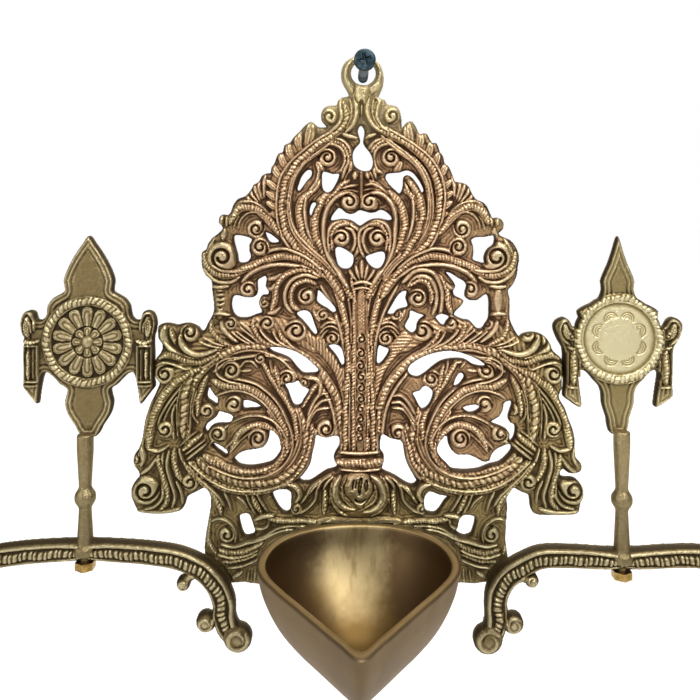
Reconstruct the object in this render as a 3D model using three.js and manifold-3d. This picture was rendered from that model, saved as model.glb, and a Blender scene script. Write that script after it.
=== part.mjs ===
// Wall-hung brass oil lamp: a pierced tree panel with a hanging ring, an oil bowl with a pinched
// spout at its foot, and on each side an arm that carries a medallion on a stem.
// Millimetres, +Z up, the front faces -Y. The origin is on the wall, on the axis of the screw
// that the ring hangs from. The wall is the plane y = 0.

import * as THREE from 'three';
import { mergeVertices } from 'three/addons/utils/BufferGeometryUtils.js';
import Module from 'manifold-3d';

const wasm = await Module();
wasm.setup();

// Driving dimensions

const fitGap = 0.3;

// Depths are measured from the wall towards the room.
const wallGap = 4.2;
const plateThickness = 3.2;
const reliefHeight = 3.2;
const ringBarDepth = 7.0;
const armDepth = 6.4;

// How far a cut runs past the face that it opens
const cutOverrun = 2.0;

// The panel is drawn from its own datum. This is where the screw axis lies on that drawing.
const hookX = 1.7;
const hookZ = -2.1;

const ringHoleX = 1.4;
const ringHoleZ = -4.7;
const ringHoleRadius = 5.0;
const ringCentreX = 1.0;
const ringCentreZ = -6.0;
const ringOuterRadius = 8.5;
const ringEdgeRounding = 0.8;

const screwShankRadius = 2.1;
const screwHeadRadius = 4.2;
const screwHeadHeight = 3.4;
const screwHeadStandOff = 8.0;
const screwHeadEdge = 0.6;
const screwLengthInWall = 26.0;
const screwTipLength = 6.0;
const screwTipRadius = 1.5;
const crossSlotTurn = 15;
const crossSlotLength = 4.6;
const crossSlotWidth = 1.1;
const crossSlotDepth = 1.8;

const bowlCentreX = -1.0;
const bowlHalfWidth = 36.0;
const bowlLength = 90.0;
const bowlBackGap = 0.4;
const bowlCentreDepth = 47.0;
const bowlRimZ = -184.3;
const bowlDepth = 37.0;
const bowlWall = 3.0;
const bowlFloor = 3.2;
const lugWidth = 28.0;
const lugHeight = 21.0;
const lugRise = 1.3;
const lugShelfDepth = 6.0;

const studRadius = 1.5;
const studSocketDepth = 3.6;
const washerRadius = 3.5;
const washerThickness = 0.8;
const nutAcrossFlats = 5.5;
const nutThickness = 2.2;
const studTipLength = 0.3;
const bowlStudDrop = 11.7;

const armHalfWidth = 4.1;
const armBendHalfWidth = 4.6;
const armBackRounding = 1.0;
const armFrontRounding = 2.2;
const armClearance = 1.2;
const branchRootHalfWidth = 2.2;
const branchTipHalfWidth = 1.8;
const knobEdgeRounding = 1.4;
const knobRise = 0.6;
const knobDomeHeight = 0.4;

const leftMedallionX = -109.2;
const leftMedallionZ = -112.8;
const rightMedallionX = 104.0;
const rightMedallionZ = -111.6;
const medallionRingRadius = 18.4;
const medallionRingWidth = 4.4;
const medallionDomeRadius = 14.0;
const medallionDishRadius = 11.8;
const medallionReliefHeight = 2.6;
const medallionRingEdge = 0.6;
const dishBackWall = 2.6;

const stemRadius = 3.2;
const stemCollarRadius = 4.6;
const stemCollarHeight = 3.0;
const stemTaperHeight = 1.4;
const stemNeckRadius = 2.6;
const stemBeadRadius = 4.1;
const stemBeadHalfHeight = 1.2;
const stemNeckHalfHeight = 4.0;
const stemSpigotRadius = 1.8;
const stemTipLength = 1.2;
const stemNutAcrossFlats = 7.0;
const stemNutThickness = 3.0;

const linkThickness = 1.4;
const linkHalfHeight = 3.5;
const linkHalfLength = 8.0;
const linkRivetInset = 4.0;
const rivetRadius = 1.2;
const rivetHeadRadius = 2.2;
const rivetHeadHeight = 1.2;
const rivetDepthInPlate = 2.2;

// Depths that follow from the ones above
const plateFront = wallGap + plateThickness;
const reliefFront = plateFront + reliefHeight;
const bowlBack = reliefFront + bowlBackGap;
const armBack = plateFront + fitGap;
const screwHeadBack = wallGap + ringBarDepth + screwHeadStandOff;

const brass = { colour: 0xa88a55, roughness: 0.38, metalness: 0.95 };
const redBrass = { colour: 0x9b7650, roughness: 0.42, metalness: 0.95 };
const oliveBrass = { colour: 0x8f7b48, roughness: 0.42, metalness: 0.95 };
const creamBrass = { colour: 0xc9bb86, roughness: 0.34, metalness: 0.95 };
const steel = { colour: 0x8d8f90, roughness: 0.35, metalness: 1.0 };
const blackSteel = { colour: 0x2c3a40, roughness: 0.42, metalness: 0.85 };

// Outline of the panel on its drawing, from the top of the ring down the left side
const panelLeftEdge = [
  [1.0, 2.5], [-2.4, 1.8], [-5.2, 0.2], [-6.8, -1.8], [-7.6, -4.8], [-7.4, -7.6], [-6.4, -10.0],
  [-5.0, -12.4], [-4.6, -14.0], [-7.0, -14.6], [-8.8, -16.0], [-9.4, -17.6], [-12.0, -17.8],
  [-14.4, -18.8], [-15.6, -21.2], [-15.4, -24.0], [-13.6, -26.4], [-16.8, -26.4], [-19.6, -24.4],
  [-22.4, -26.2], [-24.0, -28.0], [-26.8, -30.8], [-28.2, -32.8], [-30.4, -33.9], [-31.2, -36.6],
  [-32.8, -37.2], [-33.8, -39.2], [-34.5, -41.2], [-35.7, -43.0], [-36.1, -45.0], [-37.7, -45.2],
  [-39.6, -46.4], [-40.8, -48.6], [-42.8, -49.8], [-43.8, -51.6], [-46.1, -54.3], [-49.0, -55.4],
  [-51.2, -58.2], [-52.0, -60.6], [-53.2, -62.0], [-55.4, -61.8], [-56.8, -63.4], [-56.8, -65.2],
  [-55.6, -66.5], [-55.6, -67.9], [-59.5, -71.3], [-61.3, -73.8], [-62.0, -75.8], [-63.6, -77.0],
  [-63.8, -81.0], [-63.6, -83.2], [-62.2, -86.0], [-60.0, -88.3], [-59.6, -92.0], [-59.2, -95.2],
  [-58.8, -99.7], [-59.5, -102.4], [-61.3, -105.6], [-62.7, -108.3], [-63.8, -108.7],
  [-65.0, -107.3], [-66.8, -106.2], [-69.1, -105.6], [-71.3, -105.8], [-73.6, -106.3],
  [-75.4, -105.9], [-77.7, -105.6], [-80.0, -106.0], [-81.2, -106.9], [-81.5, -109.2],
  [-81.1, -111.9], [-79.7, -114.1], [-79.7, -116.0], [-80.8, -118.2], [-82.0, -119.6],
  [-82.6, -122.4], [-82.7, -126.0], [-82.2, -127.7], [-80.8, -129.6], [-81.5, -131.8],
  [-82.7, -134.5], [-84.2, -137.7], [-85.6, -141.8], [-86.5, -145.0], [-87.2, -149.5],
  [-87.9, -153.1], [-89.2, -156.2], [-90.6, -158.2], [-91.2, -161.2], [-90.6, -163.4],
  [-89.6, -164.8], [-88.8, -167.0], [-90.6, -169.3], [-92.0, -172.0], [-92.2, -174.8],
  [-91.3, -177.5], [-89.5, -180.9], [-86.3, -181.8], [-81.3, -182.2], [-76.8, -182.0],
  [-74.0, -181.6], [-71.8, -180.6], [-70.6, -178.8], [-69.8, -176.1], [-68.6, -174.8],
  [-66.4, -173.8], [-64.1, -172.5], [-62.7, -172.0], [-61.4, -172.7], [-60.4, -174.8],
  [-60.1, -177.0], [-60.2, -179.7], [-61.1, -185.2], [-62.0, -190.2], [-62.5, -194.2],
  [-62.6, -199.5], [-61.8, -206.0], [-57.6, -209.6], [-50.4, -210.2], [-46.4, -209.9],
  [-43.8, -210.4], [-30.0, -211.0], [-1.0, -212.0],
];

// Outline of the panel from its foot up the right side to the ring
const panelRightEdge = [
  [28.0, -211.0], [38.6, -210.1], [43.0, -210.3], [46.1, -210.5], [50.2, -209.9], [57.0, -209.2],
  [59.8, -204.5], [59.3, -197.6], [58.8, -194.2], [59.0, -185.2], [59.4, -179.6], [59.3, -175.6],
  [60.4, -173.8], [61.8, -172.0], [63.4, -172.7], [65.6, -173.8], [67.9, -174.8], [68.5, -177.0],
  [68.8, -179.7], [69.7, -181.8], [72.0, -182.8], [77.0, -183.0], [82.4, -183.0], [86.7, -182.4],
  [88.3, -180.6], [89.0, -177.9], [89.9, -175.2], [89.8, -172.4], [88.8, -170.2], [86.9, -168.4],
  [84.7, -167.8], [81.5, -167.6], [80.7, -166.6], [80.8, -165.2], [81.7, -164.4], [82.8, -165.0],
  [84.2, -165.9], [86.9, -166.0], [88.8, -165.2], [89.4, -163.9], [89.0, -162.0], [86.9, -159.5],
  [86.5, -152.7], [85.6, -148.1], [84.2, -144.5], [82.4, -139.5], [80.1, -135.2], [81.3, -132.0],
  [81.4, -126.8], [81.5, -122.4], [81.2, -120.0], [80.1, -118.7], [77.9, -116.8], [77.2, -115.5],
  [76.0, -112.8], [74.2, -110.7], [72.0, -109.6], [69.7, -109.2], [67.4, -109.4], [65.6, -110.0],
  [64.3, -111.0], [63.4, -110.0], [61.6, -106.8], [60.4, -103.6], [60.4, -96.0], [59.8, -92.2],
  [61.6, -90.0], [63.2, -86.4], [63.8, -82.4], [64.2, -78.8], [62.8, -74.8], [60.4, -72.0],
  [56.8, -70.4], [56.0, -69.4], [57.6, -67.6], [58.0, -65.6], [57.0, -63.8], [55.2, -63.0],
  [53.6, -63.2], [52.6, -61.6], [51.4, -58.8], [49.6, -56.8], [47.2, -55.8], [45.6, -54.0],
  [44.0, -50.8], [42.8, -49.6], [40.4, -48.8], [38.4, -48.4], [37.2, -45.6], [36.0, -42.8],
  [34.2, -41.0], [33.6, -38.4], [32.4, -36.8], [31.6, -34.4], [30.6, -32.9], [29.2, -32.8],
  [28.0, -31.0], [27.0, -29.3], [25.6, -29.0], [24.2, -29.4], [22.8, -26.8], [20.8, -24.2],
  [18.8, -24.8], [17.0, -26.6], [16.8, -23.6], [16.0, -19.9], [14.5, -18.0], [11.1, -17.3],
  [10.0, -15.6], [7.6, -14.6], [8.2, -12.8], [9.2, -10.4], [9.6, -7.2], [9.2, -4.0], [8.0, -1.2],
  [6.0, 0.6], [4.0, 1.8],
];

// Gaps that pierce the panel, each one a closed smooth line through its points
const centreGaps = [
  [[0.5, -25.9], [1.7, -27.6], [1.7, -29.8], [1.3, -32.6], [2.1, -34.4], [4.0, -36.8],
    [5.1, -39.5], [5.1, -42.0], [3.8, -44.0], [0.4, -43.9], [-2.1, -42.0], [-2.8, -39.5],
    [-2.8, -37.0], [-1.7, -34.8], [0.1, -32.6], [-0.4, -30.0], [-0.8, -28.4], [-0.4, -26.7]],
  [[-11.6, -64.0], [-11.2, -62.4], [-9.6, -60.2], [-8.5, -59.2], [-7.3, -59.7], [-5.6, -61.1],
    [-3.7, -61.6], [-1.9, -61.1], [-0.1, -60.1], [4.0, -61.1], [6.4, -60.8], [8.0, -60.0],
    [9.6, -60.2], [12.0, -62.0], [12.8, -63.6], [11.6, -64.0], [8.0, -63.3], [4.8, -63.6],
    [2.4, -64.8], [0.0, -66.2], [-1.9, -65.0], [-3.7, -64.0], [-7.3, -63.5]],
];

const leftGaps = [
  [[-50.6, -70.4], [-43.6, -71.8], [-44.5, -73.8], [-44.6, -76.4], [-44.0, -78.8], [-45.2, -80.6],
    [-47.2, -81.2], [-48.8, -80.8], [-49.3, -77.9], [-50.2, -74.7]],
  [[-38.0, -69.0], [-35.7, -69.9], [-34.5, -70.8], [-32.7, -72.6], [-35.0, -73.1], [-36.4, -72.6],
    [-37.6, -70.6]],
  [[-21.2, -43.9], [-19.8, -43.9], [-19.4, -44.8], [-19.8, -46.4], [-21.4, -48.2], [-23.2, -50.7],
    [-24.6, -52.2], [-25.2, -51.4], [-24.6, -49.3], [-23.6, -46.6]],
  [[-14.8, -44.6], [-11.0, -45.4], [-8.5, -45.4], [-8.7, -47.0], [-10.0, -49.8], [-11.4, -52.0],
    [-12.8, -52.8], [-14.1, -52.4], [-15.0, -51.1], [-15.3, -48.0]],
  [[-19.2, -57.2], [-18.0, -57.0], [-17.7, -57.6], [-18.7, -59.6], [-19.8, -62.2], [-20.3, -61.2],
    [-20.0, -58.8]],
  [[-9.8, -75.6], [-8.9, -74.9], [-6.4, -75.6], [-4.2, -77.0], [-2.8, -78.3], [-2.6, -80.0],
    [-3.2, -82.4], [-4.6, -83.5], [-6.9, -83.5], [-8.5, -82.4], [-9.4, -80.0]],
  [[-49.7, -94.3], [-46.8, -95.0], [-43.6, -95.2], [-41.8, -94.3], [-41.2, -92.0], [-41.2, -88.4],
    [-39.6, -87.2], [-38.0, -86.6], [-37.7, -88.4], [-38.0, -90.7], [-36.8, -92.8], [-37.2, -94.0],
    [-39.3, -94.3], [-40.4, -96.0], [-40.6, -98.0], [-40.0, -99.6], [-39.6, -101.2],
    [-41.8, -102.0], [-44.5, -103.1], [-47.2, -103.4], [-49.5, -102.9], [-50.8, -101.6],
    [-51.6, -99.6], [-51.7, -97.0], [-51.1, -95.0]],
  [[-33.0, -101.6], [-31.8, -101.1], [-28.4, -103.1], [-30.4, -105.4], [-31.8, -105.6],
    [-32.8, -104.3]],
  [[-25.5, -101.8], [-23.6, -100.6], [-21.4, -100.6], [-20.0, -101.6], [-19.2, -103.4],
    [-18.2, -106.4], [-17.3, -109.2], [-17.8, -110.2], [-19.2, -109.2], [-20.9, -107.0],
    [-23.2, -104.3]],
  [[-16.8, -92.4], [-16.0, -92.8], [-13.7, -95.2], [-11.4, -97.5], [-9.7, -100.6],
    [-10.8, -101.3], [-13.2, -99.6], [-16.0, -98.0], [-17.3, -96.6], [-17.1, -94.3]],
  [[-12.6, -114.7], [-9.6, -114.3], [-7.8, -115.4], [-6.9, -117.4], [-6.4, -122.0],
    [-7.2, -122.6], [-8.7, -120.0], [-10.5, -117.4]],
  [[-36.6, -115.6], [-34.0, -115.1], [-30.4, -115.6], [-26.4, -116.7], [-22.3, -119.0],
    [-19.6, -121.2], [-16.8, -124.2], [-17.3, -125.4], [-20.0, -125.7], [-22.8, -125.6],
    [-24.6, -124.2], [-26.8, -121.5], [-28.6, -119.6], [-32.3, -118.0], [-35.0, -117.0]],
  [[-42.0, -124.4], [-40.9, -123.6], [-39.6, -124.4], [-38.6, -126.4], [-38.3, -127.8],
    [-39.3, -127.8], [-40.9, -126.4]],
  [[-30.2, -130.2], [-26.6, -129.5], [-25.0, -128.8], [-23.6, -130.7], [-20.7, -132.4],
    [-21.4, -134.3], [-22.9, -136.6], [-23.8, -138.2], [-25.4, -138.8], [-26.8, -138.2],
    [-28.0, -135.6], [-29.0, -132.8]],
  [[-51.2, -175.2], [-50.2, -175.2], [-48.7, -176.3], [-47.3, -177.6], [-47.7, -178.6],
    [-48.7, -178.6], [-50.0, -177.5]],
  [[-48.4, -183.1], [-45.0, -182.4], [-44.1, -183.8], [-43.2, -186.4], [-42.4, -188.8],
    [-42.6, -190.4], [-44.1, -191.2], [-46.4, -191.2], [-47.1, -190.2], [-48.0, -187.4]],
  [[-35.1, -174.0], [-33.2, -172.9], [-29.6, -172.7], [-28.0, -173.8], [-27.8, -177.0],
    [-28.3, -181.1], [-29.6, -181.8], [-31.4, -181.1], [-33.7, -177.9]],
  [[-50.6, -160.1], [-47.4, -157.4], [-43.3, -156.5], [-39.2, -155.6], [-37.0, -152.8],
    [-36.5, -150.2], [-36.2, -148.7], [-34.8, -149.0], [-32.9, -151.2], [-32.1, -154.2],
    [-32.1, -157.0], [-33.4, -159.2], [-35.2, -161.2], [-38.8, -162.4], [-43.3, -163.1],
    [-47.4, -162.8], [-49.2, -162.0]],
  [[-59.4, -153.8], [-57.8, -154.2], [-55.6, -155.4], [-53.8, -156.7], [-53.3, -158.3],
    [-54.0, -158.7], [-56.0, -157.4], [-58.3, -155.6]],
  [[-56.8, -141.3], [-54.7, -141.6], [-51.3, -143.1], [-51.5, -144.3], [-52.4, -145.8],
    [-56.0, -146.0], [-58.8, -146.5], [-60.6, -147.9], [-61.7, -149.4], [-62.4, -148.0],
    [-61.0, -145.6], [-59.2, -144.4], [-57.6, -142.9]],
  [[-60.8, -131.4], [-59.9, -132.7], [-58.8, -134.3], [-57.5, -135.6], [-57.5, -137.9],
    [-58.0, -138.2], [-59.6, -137.2], [-61.2, -136.1], [-61.6, -134.8], [-61.2, -132.4]],
  [[-46.8, -136.8], [-46.0, -136.6], [-43.3, -137.2], [-41.1, -138.2], [-40.0, -139.2],
    [-41.1, -139.7], [-44.2, -139.9], [-46.9, -139.8]],
  [[-17.5, -150.6], [-16.1, -151.2], [-13.4, -151.8], [-10.7, -151.1], [-8.9, -151.0],
    [-8.3, -152.4], [-8.5, -155.2], [-9.8, -157.4], [-10.6, -159.6], [-10.0, -161.5],
    [-9.2, -163.1], [-10.0, -164.0], [-13.0, -164.8], [-15.7, -166.4], [-18.0, -168.0],
    [-20.2, -169.2], [-22.0, -169.4], [-23.6, -169.0], [-24.4, -168.1], [-22.9, -166.4],
    [-21.2, -164.2], [-19.8, -161.5], [-19.1, -157.9], [-18.2, -154.2]],
];

const rightGaps = [
  [[10.4, -47.2], [10.8, -45.6], [12.8, -45.1], [16.2, -44.8], [17.6, -44.3], [19.2, -44.0],
    [21.2, -44.8], [23.2, -47.0], [24.8, -49.6], [25.7, -52.2], [25.0, -52.8], [23.8, -50.6],
    [22.0, -48.0], [20.4, -46.4], [18.8, -45.9], [17.6, -46.8], [17.4, -49.2], [17.0, -51.6],
    [16.0, -53.2], [14.4, -52.0], [12.4, -50.2]],
  [[19.8, -58.6], [20.4, -58.1], [21.2, -59.2], [21.3, -60.3], [20.6, -60.0]],
  [[45.0, -72.0], [46.8, -71.0], [50.4, -70.8], [54.0, -70.4], [53.8, -73.8], [52.0, -75.2],
    [50.6, -77.2], [50.0, -79.6], [50.2, -81.2], [48.0, -80.8], [45.6, -79.8], [45.8, -77.2],
    [45.6, -74.4]],
  [[34.6, -72.4], [35.6, -71.0], [37.6, -69.8], [38.8, -69.6], [38.8, -71.6], [38.4, -73.4],
    [37.2, -73.8], [35.6, -73.2]],
  [[2.4, -79.0], [5.2, -77.6], [8.0, -76.8], [9.6, -77.0], [10.2, -78.8], [9.6, -81.2],
    [8.2, -83.2], [6.4, -83.5], [4.4, -82.4]],
  [[34.8, -85.0], [36.8, -85.6], [39.6, -87.4], [42.0, -88.8], [43.0, -90.4], [42.4, -92.8],
    [42.4, -94.8], [44.0, -96.2], [47.2, -96.2], [49.2, -94.8], [50.8, -94.0], [51.8, -95.2],
    [52.0, -100.0], [51.8, -103.6], [50.4, -106.0], [49.2, -107.6], [47.2, -107.6],
    [45.6, -106.0], [44.0, -104.4], [41.6, -104.0], [38.8, -102.8], [38.0, -102.0],
    [38.8, -100.4], [40.4, -98.8], [41.8, -96.6], [40.0, -95.4], [38.2, -94.4], [37.6, -92.8],
    [38.4, -90.4], [36.8, -87.6]],
  [[30.6, -103.2], [32.0, -102.0], [34.4, -102.2], [36.0, -103.2], [34.8, -104.8],
    [34.0, -106.2], [32.8, -106.0], [31.4, -104.4]],
  [[20.4, -100.6], [23.2, -101.6], [25.8, -102.6], [24.2, -104.0], [23.0, -106.0],
    [22.6, -108.4], [21.2, -109.5], [19.2, -108.4], [18.2, -106.8], [19.0, -104.8],
    [20.0, -102.8]],
  [[11.2, -101.6], [12.4, -99.2], [14.0, -96.4], [15.6, -94.0], [17.2, -92.8], [18.8, -92.8],
    [18.4, -95.6], [19.2, -98.8], [16.8, -99.6], [14.8, -100.4], [13.6, -101.8], [11.6, -101.9]],
  [[7.8, -114.7], [9.6, -115.2], [11.6, -116.2], [10.0, -119.8], [7.8, -122.0], [7.0, -121.6],
    [7.0, -118.8]],
  [[19.4, -124.4], [20.4, -122.4], [23.6, -120.0], [27.2, -118.4], [32.0, -117.2],
    [37.2, -116.8], [42.4, -118.0], [46.4, -119.6], [49.6, -121.6], [50.6, -122.8],
    [48.0, -122.8], [45.2, -122.0], [42.8, -120.4], [40.4, -119.8], [36.0, -120.0],
    [32.4, -121.0], [29.2, -123.2], [26.0, -125.8], [23.2, -127.2], [20.4, -126.4]],
  [[38.0, -130.8], [38.6, -128.0], [39.6, -126.2], [40.8, -125.6], [42.0, -127.2],
    [41.2, -128.8], [39.8, -130.4]],
  [[21.4, -133.8], [24.0, -132.8], [25.6, -131.2], [26.8, -131.0], [28.4, -132.0],
    [29.4, -133.4], [29.0, -136.0], [27.2, -139.2], [25.0, -140.2], [23.6, -138.4],
    [22.4, -136.0]],
  [[40.9, -183.4], [43.4, -183.0], [46.1, -183.6], [46.3, -185.6], [45.6, -188.4],
    [44.6, -190.6], [42.0, -191.3], [40.0, -190.6], [38.8, -189.2], [39.6, -187.0],
    [40.2, -184.7]],
  [[26.0, -177.0], [26.4, -175.2], [27.8, -173.6], [29.6, -173.8], [32.0, -174.8],
    [35.5, -175.6], [33.9, -177.5], [32.5, -179.7], [30.7, -181.8], [28.7, -182.0],
    [26.6, -181.3]],
  [[34.3, -151.1], [35.2, -151.5], [35.6, -154.2], [37.2, -157.0], [39.5, -158.6],
    [43.6, -158.6], [47.2, -160.1], [50.0, -161.5], [52.2, -160.8], [53.1, -158.6],
    [54.9, -156.5], [58.1, -154.9], [59.9, -154.2], [61.0, -155.4], [60.8, -157.0],
    [59.0, -159.2], [56.3, -161.5], [52.2, -162.6], [48.1, -164.2], [43.6, -164.8],
    [39.5, -164.7], [36.8, -164.2], [35.0, -162.4], [32.3, -159.6], [31.2, -157.0],
    [31.6, -154.2], [33.2, -152.0]],
  [[41.6, -139.7], [44.0, -138.8], [47.2, -138.6], [48.4, -139.5], [47.2, -140.8],
    [45.0, -141.6], [43.2, -141.3]],
  [[58.3, -137.6], [60.8, -137.0], [61.2, -138.4], [60.2, -141.6], [59.8, -143.8],
    [60.6, -145.6], [62.2, -146.5], [62.6, -148.1], [62.2, -151.1], [60.8, -153.2],
    [60.3, -152.0], [60.3, -150.2], [59.0, -148.4], [56.3, -147.0], [52.8, -145.4],
    [55.8, -143.4], [57.4, -141.1], [57.9, -138.8]],
  [[9.0, -150.4], [11.9, -151.8], [16.6, -153.0], [17.6, -156.2], [18.2, -159.8],
    [19.6, -163.4], [21.9, -167.5], [22.8, -169.3], [22.0, -170.4], [20.5, -170.7],
    [18.2, -169.8], [14.6, -167.5], [11.9, -166.1], [9.0, -164.6], [9.6, -161.2], [9.6, -158.8],
    [8.3, -156.8], [8.3, -152.4]],
];

// Raised bands of the tree, left side. Each has its line, its half width at the start and at
// the end, and the part of the relief height that it rises to. The right side mirrors them.
const raisedBands = [
  { line: [[-6.8, -16.5], [-5.2, -23.0], [-9.5, -30.0], [-18.5, -36.5], [-26.0, -42.5],
    [-30.0, -50.0], [-30.8, -58.5], [-27.5, -68.0], [-20.5, -76.5], [-12.5, -85.5], [-7.0, -95.0],
    [-4.6, -107.0]], from: 2.2, to: 1.4, rise: 0.9 },
  { line: [[-62.0, -80.0], [-58.0, -86.5], [-50.5, -86.0], [-43.5, -82.4], [-36.0, -79.8],
    [-28.5, -79.0], [-21.5, -81.4], [-15.0, -87.5], [-9.8, -95.5], [-6.6, -104.0]],
  from: 2.4, to: 1.5, rise: 0.8 },
  { line: [[-6.6, -151.0], [-9.6, -134.5], [-16.5, -121.5], [-31.0, -113.0], [-45.0, -113.6],
    [-57.0, -117.4], [-65.5, -127.0], [-69.6, -139.0], [-69.8, -152.0]],
  from: 2.0, to: 2.6, rise: 0.85 },
  { line: [[-69.0, -160.0], [-62.5, -168.0], [-52.5, -172.0], [-42.0, -172.0], [-32.0, -169.0],
    [-25.5, -162.5], [-22.5, -153.5], [-23.5, -145.0], [-28.5, -140.5]],
  from: 4.6, to: 2.6, rise: 0.8 },
  { line: [[-78.0, -131.0], [-80.5, -141.0], [-82.0, -151.0], [-82.5, -160.0], [-79.0, -169.0],
    [-78.0, -178.0]], from: 2.6, to: 3.4, rise: 0.7 },
  { line: [[-9.0, -64.5], [-14.0, -72.0], [-13.0, -80.0], [-9.0, -88.0], [-5.6, -98.0]],
    from: 1.6, to: 1.2, rise: 0.75 },
];

// The trunk, its collar and the lotus bud at its foot: half width at each height
const trunkProfile = [
  [5.4, -86.0], [6.2, -94.0], [5.4, -112.0], [6.6, -130.0], [8.0, -152.0], [8.2, -155.6],
];
const collarProfile = [[8.4, -155.8], [9.8, -160.0], [8.6, -164.6]];
const lotusProfile = [[9.0, -164.9], [10.4, -171.0], [10.0, -177.0], [6.2, -182.6]];
const axisX = -0.4;

// Half outline of a medallion from its top tip down, measured from its centre
const leftMedallionEdge = [
  [0.0, 42.4], [2.4, 39.5], [5.8, 34.5], [8.8, 28.8], [10.2, 24.2], [9.8, 20.2], [11.8, 18.8],
  [14.4, 17.2], [16.4, 14.4], [17.2, 10.4], [18.8, 8.6], [20.8, 8.8], [21.8, 11.6], [23.8, 12.4],
  [25.8, 11.6], [26.9, 9.6], [27.3, 7.0], [26.8, 3.6], [26.3, 2.0], [26.3, -4.4], [26.3, -7.2],
  [26.1, -9.6], [26.1, -14.8], [26.6, -18.0], [25.0, -20.4], [22.8, -23.2], [21.2, -25.2],
  [20.6, -25.2], [20.0, -21.6], [19.0, -15.8], [17.9, -12.8], [17.0, -12.6], [15.2, -13.6],
  [11.2, -17.6], [8.8, -19.4], [9.7, -24.2], [8.8, -28.8], [5.5, -34.2], [3.0, -38.2],
];
const rightMedallionEdge = [
  [0.0, 41.0], [1.8, 36.0], [3.8, 30.0], [5.6, 26.0], [6.6, 23.0], [6.4, 19.4], [8.0, 15.6],
  [12.5, 13.3], [16.2, 10.8], [15.7, 8.4], [16.0, 5.4], [17.1, 4.5], [18.4, 4.8], [19.3, 6.4],
  [20.9, 8.1], [22.4, 8.4], [24.8, 7.2], [26.0, 5.2], [25.6, 2.4], [24.0, -1.2], [22.5, -3.9],
  [22.1, -8.8], [21.9, -13.4], [21.8, -18.4], [22.0, -23.4], [19.8, -25.2], [17.6, -26.8],
  [15.5, -27.8], [14.8, -27.5], [14.8, -24.8], [15.5, -19.6], [16.0, -13.9], [14.8, -12.8],
  [12.5, -13.9], [9.8, -17.0], [7.6, -19.4], [6.6, -22.4], [6.4, -26.0], [4.6, -32.0],
  [3.0, -38.2],
];

// Centre line of each arm from its middle, under the medallion, to its inner knob
const leftArmLine = [
  [leftMedallionX, -194.9], [-100.8, -195.2], [-84.0, -196.4], [-72.0, -198.4], [-63.2, -202.4],
  [-57.2, -208.4], [-54.2, -215.2], [-54.0, -221.0], [-52.4, -226.0], [-49.0, -229.6],
];
const rightArmLine = [
  [rightMedallionX, -198.6], [96.8, -198.4], [82.4, -197.7], [72.0, -198.0], [66.0, -200.4],
  [58.8, -204.8], [54.8, -210.4], [54.0, -216.0], [54.2, -222.0], [53.0, -227.0], [50.8, -230.4],
];

// Round ends of the scrolls on each arm: centre and radius
const leftArmKnobs = [[-48.6, -229.8, 5.6], [-61.2, -223.4, 3.9], [-70.2, -208.2, 2.7]];
const rightArmKnobs = [[50.8, -230.4, 5.8], [60.8, -224.0, 4.1], [68.2, -207.0, 2.7]];

// Short branches from the arm to its two smaller scroll ends
const leftArmBranches = [
  [[-62.0, -204.0], [-58.4, -211.0], [-56.6, -218.0], [-58.4, -222.6], [-61.2, -223.4]],
  [[-64.0, -203.4], [-67.4, -205.0], [-70.2, -208.2]],
];
const rightArmBranches = [
  [[62.0, -205.0], [57.6, -211.4], [56.2, -218.0], [58.0, -223.4], [60.8, -224.0]],
  [[60.6, -207.0], [64.0, -205.6], [68.2, -207.0]],
];

// Places of the fasteners on the panel drawing
const leftArmStud = [-58.6, -204.8];
const rightArmStud = [56.2, -205.2];
const leftLinkPlace = [-82.8, -124.4];
const rightLinkPlace = [81.8, -124.4];

// Half outline of the bowl rim: part of the half width, and part of the length from the back
const bowlRimEdge = [
  [0.0, 0.0], [0.361, 0.018], [0.639, 0.073], [0.861, 0.162], [0.972, 0.264], [1.0, 0.378],
  [0.944, 0.471], [0.778, 0.584], [0.569, 0.7], [0.361, 0.816], [0.178, 0.916], [0.0, 1.0],
];

// Shape of the bowl wall: part of the depth below the rim, and size against the rim
const bowlProfile = [
  [0.0, 1.0], [0.22, 0.95], [0.47, 0.83], [0.65, 0.69], [0.82, 0.5], [0.94, 0.31], [1.0, 0.14],
];

// Shares of a width or a height that give the raised parts their rounded look
const reliefShoulderWidth = 0.75;
const reliefShoulderHeight = 0.6;
const reliefEdgeRounding = 0.8;
const armFaceShare = 0.55;
const armBackShare = 0.8;
const roundFaceShare = 0.4;
const rivetFaceShare = 0.7;

const outlineStepsPerPoint = 2;
const roundSegments = 28;
const medallionSegments = 36;
const screwSegments = 24;
const holeSegments = 16;
const stemSegments = 14;
const smallSegments = 12;
const hexagonSides = 6;

function toSolid(geometry) {
  const bare = geometry.index ? geometry.toNonIndexed() : geometry;
  bare.deleteAttribute('normal');
  bare.deleteAttribute('uv');
  const merged = mergeVertices(bare, 1e-4);
  return new wasm.Manifold(new wasm.Mesh({
    numProp: 3,
    vertProperties: new Float32Array(merged.attributes.position.array),
    triVerts: new Uint32Array(merged.index.array),
  }));
}

function toGeometry(solid) {
  const mesh = solid.getMesh();
  const geometry = new THREE.BufferGeometry();
  geometry.setAttribute('position', new THREE.BufferAttribute(mesh.vertProperties, 3));
  geometry.setIndex(new THREE.BufferAttribute(mesh.triVerts, 1));
  geometry.computeVertexNormals();
  return geometry;
}

function smoothLoop(points) {
  const corners = points.map(([x, z]) => new THREE.Vector3(x, z, 0));
  const curve = new THREE.CatmullRomCurve3(corners, true, 'centripetal');
  const steps = points.length * outlineStepsPerPoint;
  const loop = curve.getPoints(steps).slice(0, steps);
  return loop.map((point) => new THREE.Vector2(point.x, point.y));
}

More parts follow.
